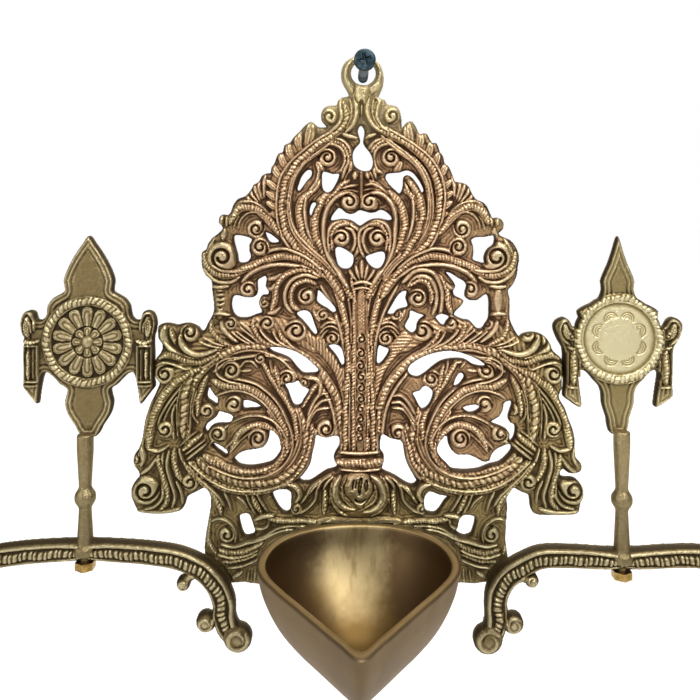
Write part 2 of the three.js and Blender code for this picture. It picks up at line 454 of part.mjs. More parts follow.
// A flat shape drawn in x and z, thickened from one depth to another
function slab(shape, fromDepth, toDepth, bevel = 0) {
  const geometry = new THREE.ExtrudeGeometry(shape, {
    depth: toDepth - fromDepth - 2 * bevel,
    bevelEnabled: bevel > 0,
    bevelThickness: bevel,
    bevelSize: bevel,
    bevelOffset: -bevel,
    bevelSegments: 2,
  });
  geometry.translate(0, 0, fromDepth + bevel);
  geometry.rotateX(Math.PI / 2);
  return toSolid(geometry);
}

// A bar that follows a line drawn in x and z. The section is a list of side and depth, where
// a side of 1 is the half width.
function bar(line, halfWidthFrom, halfWidthTo, section, stepsPerPoint = 3) {
  const points = line.map(([x, z]) => new THREE.Vector3(x, 0, z));
  const curve = new THREE.CatmullRomCurve3(points, false, 'centripetal');
  const steps = (line.length - 1) * stepsPerPoint;
  const positions = [];
  for (let step = 0; step <= steps; step += 1) {
    const share = step / steps;
    const centre = curve.getPoint(share);
    const along = curve.getTangent(share);
    const halfWidth = THREE.MathUtils.lerp(halfWidthFrom, halfWidthTo, share);
    for (const [side, depth] of section) {
      const across = side * halfWidth;
      positions.push(centre.x - along.z * across, -depth, centre.z + along.x * across);
    }
  }
  const count = section.length;
  const faces = [];
  for (let step = 0; step < steps; step += 1) {
    for (let corner = 0; corner < count; corner += 1) {
      const next = (corner + 1) % count;
      const a = step * count + corner;
      const b = step * count + next;
      faces.push(a, b, b + count, a, b + count, a + count);
    }
  }
  const last = steps * count;
  for (let corner = 1; corner < count - 1; corner += 1) {
    faces.push(0, corner + 1, corner, last, last + corner, last + corner + 1);
  }
  const geometry = new THREE.BufferGeometry();
  geometry.setAttribute('position', new THREE.Float32BufferAttribute(positions, 3));
  geometry.setIndex(faces);
  return toSolid(geometry);
}

// A round solid on an axis square to the wall, from a profile of radius and depth
function turned(profile, x, z, segments = roundSegments) {
  const points = profile.map(([radius, depth]) => new THREE.Vector2(radius, -depth));
  const geometry = new THREE.LatheGeometry(points.reverse(), segments);
  geometry.translate(x, 0, z);
  return toSolid(geometry);
}

function cylinder(radius, fromDepth, toDepth, x, z, segments = holeSegments) {
  const profile = [[0, fromDepth], [radius, fromDepth], [radius, toDepth], [0, toDepth]];
  return turned(profile, x, z, segments);
}

function circleLoop(x, z, radius, sides = roundSegments) {
  const loop = [];
  for (let side = 0; side < sides; side += 1) {
    const angle = (2 * Math.PI * side) / sides;
    loop.push(new THREE.Vector2(x + radius * Math.cos(angle), z + radius * Math.sin(angle)));
  }
  return loop;
}

function panelShape() {
  const shape = new THREE.Shape(smoothLoop([...panelLeftEdge, ...panelRightEdge]));
  for (const gap of [...centreGaps, ...leftGaps, ...rightGaps]) {
    shape.holes.push(new THREE.Path(smoothLoop(gap)));
  }
  shape.holes.push(new THREE.Path(circleLoop(ringHoleX, ringHoleZ, ringHoleRadius)));
  return shape;
}

function mirrored(line) {
  return line.map(([x, z]) => [2 * axisX - x, z]).reverse();
}

function reliefSection(rise) {
  const top = plateFront + reliefHeight * rise;
  const base = wallGap + plateThickness / 2;
  const side = reliefShoulderWidth;
  const shoulder = plateFront + reliefHeight * rise * reliefShoulderHeight;
  return [[-1, base], [1, base], [side, shoulder], [0, top], [-side, shoulder]];
}

// A swelling of the panel on its middle line, from half widths at their heights
function standing(profile, rise) {
  const halves = profile.map(([halfWidth, z]) => [axisX + halfWidth, z]);
  const outline = [...halves, ...mirrored(halves)];
  const shape = new THREE.Shape(outline.map(([x, z]) => new THREE.Vector2(x, z)));
  const front = plateFront + reliefHeight * rise;
  return slab(shape, wallGap + plateThickness / 2, front, reliefEdgeRounding);
}

function hangingRing() {
  const shape = new THREE.Shape(circleLoop(ringCentreX, ringCentreZ, ringOuterRadius));
  shape.holes.push(new THREE.Path(circleLoop(ringHoleX, ringHoleZ, ringHoleRadius)));
  return slab(shape, wallGap, wallGap + ringBarDepth, ringEdgeRounding);
}

function makePanel() {
  const shape = panelShape();
  let relief = standing(trunkProfile, 0.8);
  relief = relief.add(standing(collarProfile, 1.0));
  relief = relief.add(standing(lotusProfile, 1.0));
  for (const { line, from, to, rise } of raisedBands) {
    relief = relief.add(bar(line, from, to, reliefSection(rise), 2));
    relief = relief.add(bar(mirrored(line), to, from, reliefSection(rise), 2));
  }
  relief = relief.intersect(slab(shape, wallGap, reliefFront));
  relief = relief.subtract(armSeat(leftArmLine)).subtract(armSeat(rightArmLine));
  relief = relief.subtract(lugSeat());
  let panel = slab(shape, wallGap, plateFront).add(relief).add(hangingRing());
  const drilled = [leftArmStud, rightArmStud, [bowlCentreX, bowlRimZ - bowlStudDrop]];
  for (const [x, z] of drilled) {
    panel = panel.subtract(cylinder(studRadius + fitGap, 0, reliefFront, x, z));
  }
  for (const [x, z] of [panelRivetPlace('left'), panelRivetPlace('right')]) {
    panel = panel.subtract(rivetHole(x, z));
  }
  return panel;
}

// The room that an arm needs in front of the panel
function armSeat(line) {
  const half = armBendHalfWidth + armClearance;
  const front = plateFront + armDepth;
  const section = [[-1, plateFront], [1, plateFront], [1, front], [-1, front]];
  return bar(line, half, half, section, 2);
}

// The room that the bowl's lug needs in front of the panel
function lugSeat() {
  const width = lugWidth + 2 * fitGap;
  const height = lugHeight + 2 * fitGap;
  const depth = reliefHeight + cutOverrun;
  const seat = new THREE.BoxGeometry(width, depth, height);
  seat.translate(bowlCentreX, -(plateFront + depth / 2), bowlRimZ + lugRise - lugHeight / 2);
  return toSolid(seat);
}

function linkPlace(side) {
  return side === 'left' ? leftLinkPlace : rightLinkPlace;
}

function outward(side) {
  return side === 'left' ? -1 : 1;
}

function panelRivetPlace(side) {
  const [x, z] = linkPlace(side);
  return [x - outward(side) * linkRivetInset, z];
}

function medallionRivetPlace(side) {
  const [x, z] = linkPlace(side);
  return [x + outward(side) * linkRivetInset, z];
}

function rivetHole(x, z) {
  const depth = wallGap + rivetDepthInPlate + fitGap;
  return cylinder(rivetRadius + fitGap, 0, depth, x, z, smallSegments);
}

function scaledRim(scale) {
  const right = bowlRimEdge.map(([across, along]) => [
    across * bowlHalfWidth,
    bowlBack + along * bowlLength,
  ]);
  const left = right.slice(1, -1).map(([across, depth]) => [-across, depth]).reverse();
  const loop = smoothLoop([...right, ...left]);
  return loop.map((point) => [
    bowlCentreX + point.x * scale,
    bowlCentreDepth + (point.y - bowlCentreDepth) * scale,
  ]);
}

// A bowl body from level outlines that shrink as they go down, with flat ends
function bowlBody(inset, topZ, height) {
  const levels = bowlProfile.map(([share, size]) => ({
    z: topZ - height * share,
    loop: scaledRim(size * (1 - inset / bowlHalfWidth)),
  }));
  const count = levels[0].loop.length;
  const positions = [];
  for (const { z, loop } of levels) {
    for (const [x, depth] of loop) positions.push(x, -depth, z);
  }
  const topCentre = levels.length * count;
  positions.push(bowlCentreX, -bowlCentreDepth, topZ);
  positions.push(bowlCentreX, -bowlCentreDepth, topZ - height);
  const faces = [];
  const lastLevel = (levels.length - 1) * count;
  for (let point = 0; point < count; point += 1) {
    const next = (point + 1) % count;
    for (let level = 0; level < levels.length - 1; level += 1) {
      const a = level * count + point;
      const b = level * count + next;
      faces.push(a, b, b + count, a, b + count, a + count);
    }
    faces.push(topCentre, next, point);
    faces.push(topCentre + 1, lastLevel + point, lastLevel + next);
  }
  const geometry = new THREE.BufferGeometry();
  geometry.setAttribute('position', new THREE.Float32BufferAttribute(positions, 3));
  geometry.setIndex(faces);
  return toSolid(geometry);
}

function makeBowl() {
  const lugBack = plateFront + fitGap;
  const lugDepth = bowlCentreDepth - lugBack;
  const lug = new THREE.BoxGeometry(lugWidth, lugDepth, lugHeight);
  lug.translate(bowlCentreX, -(lugBack + lugDepth / 2), bowlRimZ + lugRise - lugHeight / 2);
  const lugTop = new THREE.BoxGeometry(lugWidth, lugDepth, 2 * lugRise);
  lugTop.translate(bowlCentreX, -(lugBack + lugShelfDepth + lugDepth / 2), bowlRimZ + lugRise);
  const inner = bowlBody(bowlWall, bowlRimZ, bowlDepth - bowlFloor);
  const mouth = bowlBody(bowlWall, bowlRimZ + lugRise, 3 * lugRise);
  const socketEnd = lugBack + studSocketDepth;
  const socketZ = bowlRimZ - bowlStudDrop;
  const socket = cylinder(studRadius + fitGap, 0, socketEnd, bowlCentreX, socketZ);
  return bowlBody(0, bowlRimZ, bowlDepth).add(toSolid(lug)).subtract(toSolid(lugTop))
    .subtract(inner).subtract(mouth).subtract(socket);
}

const armSection = [
  [-armBackShare, armBack], [armBackShare, armBack],
  [1, armBack + armBackRounding], [1, armBack + armDepth - armFrontRounding],
  [armFaceShare, armBack + armDepth], [-armFaceShare, armBack + armDepth],
  [-1, armBack + armDepth - armFrontRounding], [-1, armBack + armBackRounding],
];

function knob(radius, x, z) {
  const front = armBack + armDepth + knobRise;
  const neck = radius - knobEdgeRounding;
  const profile = [
    [0, armBack], [neck, armBack], [radius, armBack + knobEdgeRounding],
    [radius, front - 2 * knobEdgeRounding], [neck, front - knobDomeHeight],
    [radius * roundFaceShare, front], [0, front],
  ];
  return turned(profile, x, z, smallSegments);
}

function halfArm(line, branches, knobs) {
  let half = bar(line, armHalfWidth, armBendHalfWidth, armSection, 2);
  for (const branch of branches) {
    half = half.add(bar(branch, branchRootHalfWidth, branchTipHalfWidth, armSection, 2));
  }
  for (const [x, z, radius] of knobs) {
    half = half.add(knob(radius, x, z));
  }
  return half;
}

function flipLine(line, aboutX) {
  return line.map(([x, ...rest]) => [2 * aboutX - x, ...rest]);
}

function makeArm(side) {
  const isLeft = side === 'left';
  const line = isLeft ? leftArmLine : rightArmLine;
  const branches = isLeft ? leftArmBranches : rightArmBranches;
  const knobs = isLeft ? leftArmKnobs : rightArmKnobs;
  const [middleX, middleZ] = line[0];
  const flippedBranches = branches.map((branch) => flipLine(branch, middleX));
  let arm = halfArm(line, branches, knobs);
  arm = arm.add(halfArm(flipLine(line, middleX), flippedBranches, flipLine(knobs, middleX)));
  const [studX, studZ] = isLeft ? leftArmStud : rightArmStud;
  arm = arm.subtract(cylinder(studRadius + fitGap, 0, armBack + studSocketDepth, studX, studZ));
  return arm.subtract(spigotHole(middleX, middleZ - armHalfWidth, middleZ + armHalfWidth));
}

function spigotHole(x, fromZ, toZ) {
  const radius = stemSpigotRadius + fitGap;
  return upright(radius, fromZ - cutOverrun, toZ + cutOverrun, x, holeSegments);
}

const stemDepth = armBack + armDepth / 2;

// A round solid that stands along z at the depth of the stems
function uprightTurned(profile, x, segments) {
  const points = profile.map(([radius, z]) => new THREE.Vector2(radius, z));
  const geometry = new THREE.LatheGeometry(points, segments);
  geometry.rotateX(Math.PI / 2);
  geometry.translate(x, -stemDepth, 0);
  return toSolid(geometry);
}

function upright(radius, fromZ, toZ, x, segments) {
  return uprightTurned([[0, fromZ], [radius, fromZ], [radius, toZ], [0, toZ]], x, segments);
}

function medallionOutline(edge, centreX, centreZ) {
  const right = edge.map(([x, z]) => [centreX + x, centreZ + z]);
  const left = edge.slice(1).map(([x, z]) => [centreX - x, centreZ + z]).reverse();
  return [...right, ...left];
}

function makeMedallion(side) {
  const isLeft = side === 'left';
  const x = isLeft ? leftMedallionX : rightMedallionX;
  const z = isLeft ? leftMedallionZ : rightMedallionZ;
  const edge = isLeft ? leftMedallionEdge : rightMedallionEdge;
  const shape = new THREE.Shape(smoothLoop(medallionOutline(edge, x, z)));
  const front = plateFront + medallionReliefHeight;
  const ringInner = medallionRingRadius - medallionRingWidth;
  const centreRadius = isLeft ? medallionDomeRadius : medallionDishRadius;
  const centreDepth = isLeft ? front : wallGap + dishBackWall;
  const profile = [
    [0, wallGap], [medallionRingRadius - medallionRingEdge, wallGap],
    [medallionRingRadius, plateFront], [medallionRingRadius - medallionRingEdge, front],
    [ringInner + medallionRingEdge, front], [ringInner, plateFront],
    [centreRadius, plateFront], [(centreRadius * (1 + roundFaceShare)) / 2, (plateFront + centreDepth) / 2],
    [centreRadius * roundFaceShare, centreDepth], [0, centreDepth],
  ];
  let medallion = slab(shape, wallGap, plateFront).add(turned(profile, x, z, medallionSegments));
  if (!isLeft) {
    const floorRadius = centreRadius * roundFaceShare;
    const dish = [[0, centreDepth], [floorRadius, centreDepth], [centreRadius, front], [0, front]];
    medallion = medallion.subtract(turned(dish, x, z, medallionSegments));
  }
  const [rivetX, rivetZ] = medallionRivetPlace(side);
  return medallion.subtract(rivetHole(rivetX, rivetZ));
}

function stemTopZ(side) {
  const isLeft = side === 'left';
  const edge = isLeft ? leftMedallionEdge : rightMedallionEdge;
  const z = isLeft ? leftMedallionZ : rightMedallionZ;
  return z + edge[edge.length - 1][1] - fitGap;
}

function armLine(side) {
  return side === 'left' ? leftArmLine : rightArmLine;
}

function makeStem(side) {
  const [x, armZ] = armLine(side)[0];
  const top = stemTopZ(side);
  const seat = armZ + armHalfWidth + fitGap;
  const tip = armZ - armHalfWidth - fitGap - stemNutThickness - stemTipLength;
  const middle = (seat + top) / 2;
  const profile = [
    [0, tip], [stemSpigotRadius, tip], [stemSpigotRadius, seat],
    [stemCollarRadius, seat], [stemCollarRadius, seat + stemCollarHeight],
    [stemRadius, seat + stemCollarHeight + stemTaperHeight],
    [stemNeckRadius, middle - stemNeckHalfHeight], [stemBeadRadius, middle - stemBeadHalfHeight],
    [stemBeadRadius, middle + stemBeadHalfHeight], [stemNeckRadius, middle + stemNeckHalfHeight],
    [stemRadius, top - stemNeckHalfHeight], [stemRadius, top], [0, top],
  ];
  return uprightTurned(profile, x, stemSegments);
}

function makeStemNut(side) {
  const [x, armZ] = armLine(side)[0];
  const top = armZ - armHalfWidth - fitGap;
  const bottom = top - stemNutThickness;
  const radius = stemNutAcrossFlats / Math.sqrt(3);
  return upright(radius, bottom, top, x, hexagonSides).subtract(spigotHole(x, bottom, top));
}

function makeStud(x, z, socketFrom) {
  const back = wallGap - fitGap - washerThickness - fitGap - nutThickness - studTipLength;
  return cylinder(studRadius, back, socketFrom + studSocketDepth - fitGap, x, z);
}

function makeWasher(x, z) {
  const front = wallGap - fitGap;
  const disc = cylinder(washerRadius, front - washerThickness, front, x, z);
  return disc.subtract(cylinder(studRadius + fitGap, 0, front + cutOverrun, x, z));
}

function makeNut(x, z) {
  const front = wallGap - fitGap - washerThickness - fitGap;
  const radius = nutAcrossFlats / Math.sqrt(3);
  const nut = cylinder(radius, front - nutThickness, front, x, z, hexagonSides);
  return nut.subtract(cylinder(studRadius + fitGap, 0, front + cutOverrun, x, z));
}

function makeLink(side) {
  const [x, z] = linkPlace(side);
  const shape = new THREE.Shape();
  shape.moveTo(x - linkHalfLength, z - linkHalfHeight);
  shape.lineTo(x + linkHalfLength, z - linkHalfHeight);
  shape.lineTo(x + linkHalfLength, z + linkHalfHeight);
  shape.lineTo(x - linkHalfLength, z + linkHalfHeight);
  const front = wallGap - fitGap;
  let link = slab(shape, front - linkThickness, front);
  for (const [rivetX, rivetZ] of [panelRivetPlace(side), medallionRivetPlace(side)]) {
    const hole = cylinder(rivetRadius + fitGap, 0, wallGap, rivetX, rivetZ, smallSegments);
    link = link.subtract(hole);
  }
  return link;
}

function makeRivet(x, z) {
  const seat = wallGap - fitGap - linkThickness - fitGap;
  const tip = wallGap + rivetDepthInPlate;
  const profile = [
    [0, seat - rivetHeadHeight], [rivetHeadRadius * rivetFaceShare, seat - rivetHeadHeight],
    [rivetHeadRadius, seat - rivetHeadHeight * roundFaceShare], [rivetHeadRadius, seat],
    [rivetRadius, seat], [rivetRadius, tip], [0, tip],
  ];
  return turned(profile, x, z, smallSegments);
}

function makeScrew() {
  const front = screwHeadBack + screwHeadHeight;
  const tip = -screwLengthInWall;
  const profile = [
    [0, tip], [screwTipRadius, tip + screwTipLength],
    [screwShankRadius, tip + screwTipLength + screwShankRadius],
    [screwShankRadius, screwHeadBack], [screwHeadRadius, front - 2 * screwHeadEdge],
    [screwHeadRadius, front - screwHeadEdge], [screwHeadRadius - screwHeadEdge, front], [0, front],
  ];
  let screw = turned(profile, 0, 0, screwSegments);
  for (const turn of [0, Math.PI / 2]) {
    const slot = new THREE.BoxGeometry(crossSlotLength, 2 * crossSlotDepth, crossSlotWidth);
    slot.rotateY(turn + THREE.MathUtils.degToRad(crossSlotTurn));
    slot.translate(0, -front, 0);
    screw = screw.subtract(toSolid(slot));
  }
  return screw;
}

function named(name, solid, finish) {
  const material = new THREE.MeshStandardMaterial({
    color: finish.colour,
    roughness: finish.roughness,
    metalness: finish.metalness,
  });
  const mesh = new THREE.Mesh(toGeometry(solid), material);
  mesh.name = name;
  return mesh;
}

// The lamp hangs from the screw, so its drawing datum is moved to put the screw axis at zero.
const lamp = new THREE.Group();
lamp.position.set(-hookX, 0, -hookZ);

lamp.add(named('back_panel', makePanel(), redBrass));
lamp.add(named('oil_bowl', makeBowl(), brass));

const fastened = [
  ['bowl', bowlCentreX, bowlRimZ - bowlStudDrop, plateFront + fitGap],
  ['left_arm', ...leftArmStud, armBack],
  ['right_arm', ...rightArmStud, armBack],
];
for (const [owner, x, z, socketFrom] of fastened) {
  lamp.add(named(`${owner}_stud`, makeStud(x, z, socketFrom), brass));
  lamp.add(named(`${owner}_washer`, makeWasher(x, z), steel));
  lamp.add(named(`${owner}_nut`, makeNut(x, z), steel));
}

for (const side of ['left', 'right']) {
  const medallionFinish = side === 'left' ? oliveBrass : creamBrass;
  lamp.add(named(`${side}_arm`, makeArm(side), oliveBrass));
  lamp.add(named(`${side}_medallion`, makeMedallion(side), medallionFinish));
  lamp.add(named(`${side}_stem`, makeStem(side), oliveBrass));
  lamp.add(named(`${side}_stem_nut`, makeStemNut(side), brass));
  lamp.add(named(`${side}_link`, makeLink(side), brass));
  lamp.add(named(`${side}_panel_rivet`, makeRivet(...panelRivetPlace(side)), brass));
  lamp.add(named(`${side}_medallion_rivet`, makeRivet(...medallionRivetPlace(side)), brass));
}

const assembly = new THREE.Group();
assembly.add(named('wall_screw', makeScrew(), blackSteel));
assembly.add(lamp);

export default assembly;
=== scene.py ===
"""Looks of the wall-hung brass oil lamp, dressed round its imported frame.

Everything is in metres in the frame's own axes, and the casting fields are worked out in
millimetres. The carving is drawn in drawing units of 0.4 mm, from the top left, as on a
pattern maker's sheet, and the screw's axis lies at DRAWING_AXIS on that sheet.
"""

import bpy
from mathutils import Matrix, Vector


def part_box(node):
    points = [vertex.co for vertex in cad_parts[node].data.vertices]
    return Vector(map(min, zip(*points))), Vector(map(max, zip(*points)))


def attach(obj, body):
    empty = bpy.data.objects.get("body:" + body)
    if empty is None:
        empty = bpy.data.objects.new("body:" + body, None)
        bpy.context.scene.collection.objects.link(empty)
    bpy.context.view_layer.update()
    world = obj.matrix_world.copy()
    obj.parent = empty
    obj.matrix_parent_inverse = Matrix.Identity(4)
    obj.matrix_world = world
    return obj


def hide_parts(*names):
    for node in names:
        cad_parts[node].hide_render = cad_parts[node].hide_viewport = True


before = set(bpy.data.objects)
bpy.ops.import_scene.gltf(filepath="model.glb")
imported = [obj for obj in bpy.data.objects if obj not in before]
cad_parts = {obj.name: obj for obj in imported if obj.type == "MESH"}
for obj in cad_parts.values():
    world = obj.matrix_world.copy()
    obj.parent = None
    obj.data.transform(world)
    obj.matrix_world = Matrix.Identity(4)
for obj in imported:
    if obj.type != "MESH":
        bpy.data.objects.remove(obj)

import copy
import logging
import math
from dataclasses import dataclass
from enum import Enum
from typing import Callable, Iterable, Sequence

import bmesh
import bpy
import numpy as np
from mathutils import Vector

logging.basicConfig(level=logging.INFO, format="%(message)s")
log = logging.getLogger("lamp")

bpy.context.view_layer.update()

Array = np.ndarray
Point = tuple[float, float]
Point3 = tuple[float, float, float]
Colour = tuple[float, float, float, float]

MM = 0.001
DRAWING_UNIT = 0.4
DRAWING_AXIS = (364.25, 65.25)
MIDDLE = 359.2

# Depths from the wall, heights and distances, all in millimetres
PLATE_BACK = 4.2
PLATE_FRONT = 7.4
ARM_BACK = 7.7
ARM_FRONT = 14.1
STROKE_HEIGHT = 2.8
STROKE_PITCH = 3.4
SCROLL_HEIGHT = 3.1
GRID_STEP = 0.25
OUTSIDE = -3.0
NO_LIMIT = 100.0

# How a band narrows to its ends: the share of its width at the very end, and the run, in
# half widths, over which it fills out
END_SHARE = 0.4
END_RUN = 2.6

# The wear of a casting's plain back and of turned pieces, where 0.5 is level and 1 a crest
BACK_WEAR = 0.42
TURNED_WEAR = 0.62

# The camera's focal length and the picture's width, in pixels
FOCAL_LENGTH = 750.0
PICTURE_WIDTH = 700.0

# The length of a grid cell's diagonal, in grid steps
DIAGONAL = 1.414


def hex_colour(code: str) -> Colour:
    """A display colour, such as a9805a, as linear values.

    Args:
        code: Six hexadecimal digits.

    Returns:
        Red, green, blue and alpha, linear.
    """
    parts = [int(code[i:i + 2], 16) / 255 for i in (0, 2, 4)]
    linear = [p / 12.92 if p <= 0.04045 else ((p + 0.055) / 1.055) ** 2.4 for p in parts]
    return (linear[0], linear[1], linear[2], 1.0)


def line(*flat: float) -> Array:
    """Points of a drawn line, as millimetres in the frame's x and z.

    Args:
        flat: x and y of each point in turn, in drawing units.

    Returns:
        The points.
    """
    pairs = np.array(flat, float).reshape(-1, 2)
    return (pairs - DRAWING_AXIS) * DRAWING_UNIT * (1, -1)


def flipped(points: Array, middle: float) -> Array:
    """The same points on the other side of an upright line at x = middle."""
    out = points.copy()
    out[:, 0] = 2 * middle - out[:, 0]
    return out


def spiral(x: float, z: float, radius: Array, angle: Array) -> Array:
    """Points at distances and angles from a middle."""
    return np.stack([x + radius * np.cos(angle), z + radius * np.sin(angle)], axis=1)


def half_round(across: Array, power: float = 2) -> Array:
    """1 in the middle, 0 from -1 and 1 outward, and round between, or fuller for a high power."""
    return np.sqrt(np.clip(1 - across ** power, 0, 1))


def bell(away: Array, width: float) -> Array:
    """1 where away is 0, and falling off over a width."""
    return np.exp(-((away / width) ** 2))


def smooth_line(points: Array, step: float, closed: bool = False) -> Array:
    """A smooth line through points, sampled at even steps.

    Args:
        points: The points that it passes through, in millimetres.
        step: The distance between samples, in millimetres.
        closed: Whether the end joins the start.

    Returns:
        The samples.
    """
    count = len(points)
    if closed:
        padded = np.vstack([points[-1:], points, points[:2]])
        spans = count
    else:
        first, last = 2 * points[0] - points[1], 2 * points[-1] - points[-2]
        padded = np.vstack([[first], points, [last]])
        spans = count - 1
    pieces = []
    for i in range(spans):
        p0, p1, p2, p3 = padded[i:i + 4]
        k1 = max(np.linalg.norm(p1 - p0), 1e-6) ** 0.5
        k2 = max(np.linalg.norm(p2 - p1), 1e-6) ** 0.5
        k3 = max(np.linalg.norm(p3 - p2), 1e-6) ** 0.5
        m1 = (p1 - p0) / k1 - (p2 - p0) / (k1 + k2) + (p2 - p1) / k2
        m2 = (p2 - p1) / k2 - (p3 - p1) / (k2 + k3) + (p3 - p2) / k3
        m1, m2 = m1 * k2, m2 * k2
        n = max(2, int(np.linalg.norm(p2 - p1) / step) + 1)
        t = np.linspace(0, 1, n, endpoint=False)[:, None]
        h00, h10 = 2 * t**3 - 3 * t**2 + 1, t**3 - 2 * t**2 + t
        h01, h11 = -2 * t**3 + 3 * t**2, t**3 - t**2
        pieces.append(h00 * p1 + h10 * m1 + h01 * p2 + h11 * m2)
    if not closed:
        pieces.append(points[-1:])
    return np.vstack(pieces)


class Band(Enum):
    """The cross-sections that a carved band can have."""

    RIDGE = "one rounded ridge"
    BEADS = "a row of beads between two lips"
    TWIN = "two ridges with a groove between"
    TRIPLE = "three fine ridges"
    ROPE = "slanting strands"
    SEEDS = "close grains with no lips"


@dataclass(frozen=True)
class Stroke:
    """One carved band that follows a line.

    Its points and its height over the plate are in millimetres, and its full widths at its
    start and end and the distance from bead to bead in drawing units. With `both` it has a
    twin on the other side of the tree.
    """

    band: Band
    points: Array
    width: float
    end_width: float
    height: float = STROKE_HEIGHT
    pitch: float = STROKE_PITCH
    both: bool = True


@dataclass(frozen=True)
class Scroll:
    """One volute: a ridge that winds in to a round eye.

    Its centre, radius, ridge width and eye radius are in drawing units, and its height in
    millimetres. It starts at an angle in degrees, 90 up, and its turns are anticlockwise as
    seen from the room.
    """

    centre: Point
    radius: float
    start: float
    turns: float
    ridge: float = 4.4
    eye: float = 2.4
    height: float = SCROLL_HEIGHT
    both: bool = True


def ridge_height(u: Array) -> Array:
    """A rounded ridge over a half width of 1."""
    return 0.18 + 0.82 * half_round(u)


def bead_row(u: Array, s: Array, pitch: float, half: float) -> Array:
    """Round beads in a row.

    Args:
        u: Place across the band, where 1 is its edge.
        s: Place along the band, in millimetres.
        pitch: Distance from bead to bead, in millimetres.
        half: The bead's half width as a share of the band's.

    Returns:
        The height of the beads from 0 to 1.
    """
    turn = s / pitch + 0.14 * np.sin(s * 1.3) + 0.35 * u
    bead = np.floor(turn)
    phase = 2 * (turn - bead) - 1
    size = 1 + 0.2 * np.sin(bead * 3.7)
    across = u / half + 0.2 * np.sin(bead * 7.3)
    return size * np.sqrt(np.clip(1 - across**4 - phase**2, 0, 1))


def band_section(band: Band, u: Array, s: Array, d: Array, pitch: float) -> Array:
    """The height of a band's section.

    Args:
        band: Which section.
        u: Place across the band, from -1 to 1.
        s: Place along it, in millimetres.
        d: Place across it, in millimetres.
        pitch: Distance from bead to bead or rib to rib, in millimetres.

    Returns:
        Heights from 0 to 1.
    """
    a = np.abs(u)
    round_top = half_round(u)
    edge = 0.25 + 0.75 * half_round(a, 6)
    if band is Band.RIDGE:
        return ridge_height(u)
    if band is Band.BEADS:
        bars = 0.42 + 0.46 * bead_row(u, s, pitch, 0.7)
        return np.maximum(bars, 0.86 * bell(a - 0.84, 0.15)) * edge + 0.14 * round_top
    if band is Band.TWIN:
        return (0.25 + 0.75 * round_top ** 0.7) * (1 - 0.4 * bell(u, 0.2))
    if band is Band.TRIPLE:
        lines = 0.5 + 0.5 * np.cos(u * 3 * math.pi)
        return (0.5 + 0.3 * lines + 0.2 * round_top) * edge
    if band is Band.ROPE:
        rib = 0.5 + 0.5 * np.cos(2 * math.pi * (s + 1.1 * d) / pitch)
        return (0.4 + 0.6 * round_top) * (0.66 + 0.34 * rib)
    row = (u + 1) * 1.5
    phase = 2 * (((s + 0.5 * pitch * (np.floor(row) % 2)) / pitch) % 1.0) - 1
    cross = 2 * (row % 1.0) - 1
    return 0.55 + 0.3 * np.sqrt(np.clip(1 - phase**2 - cross**2, 0, 1))


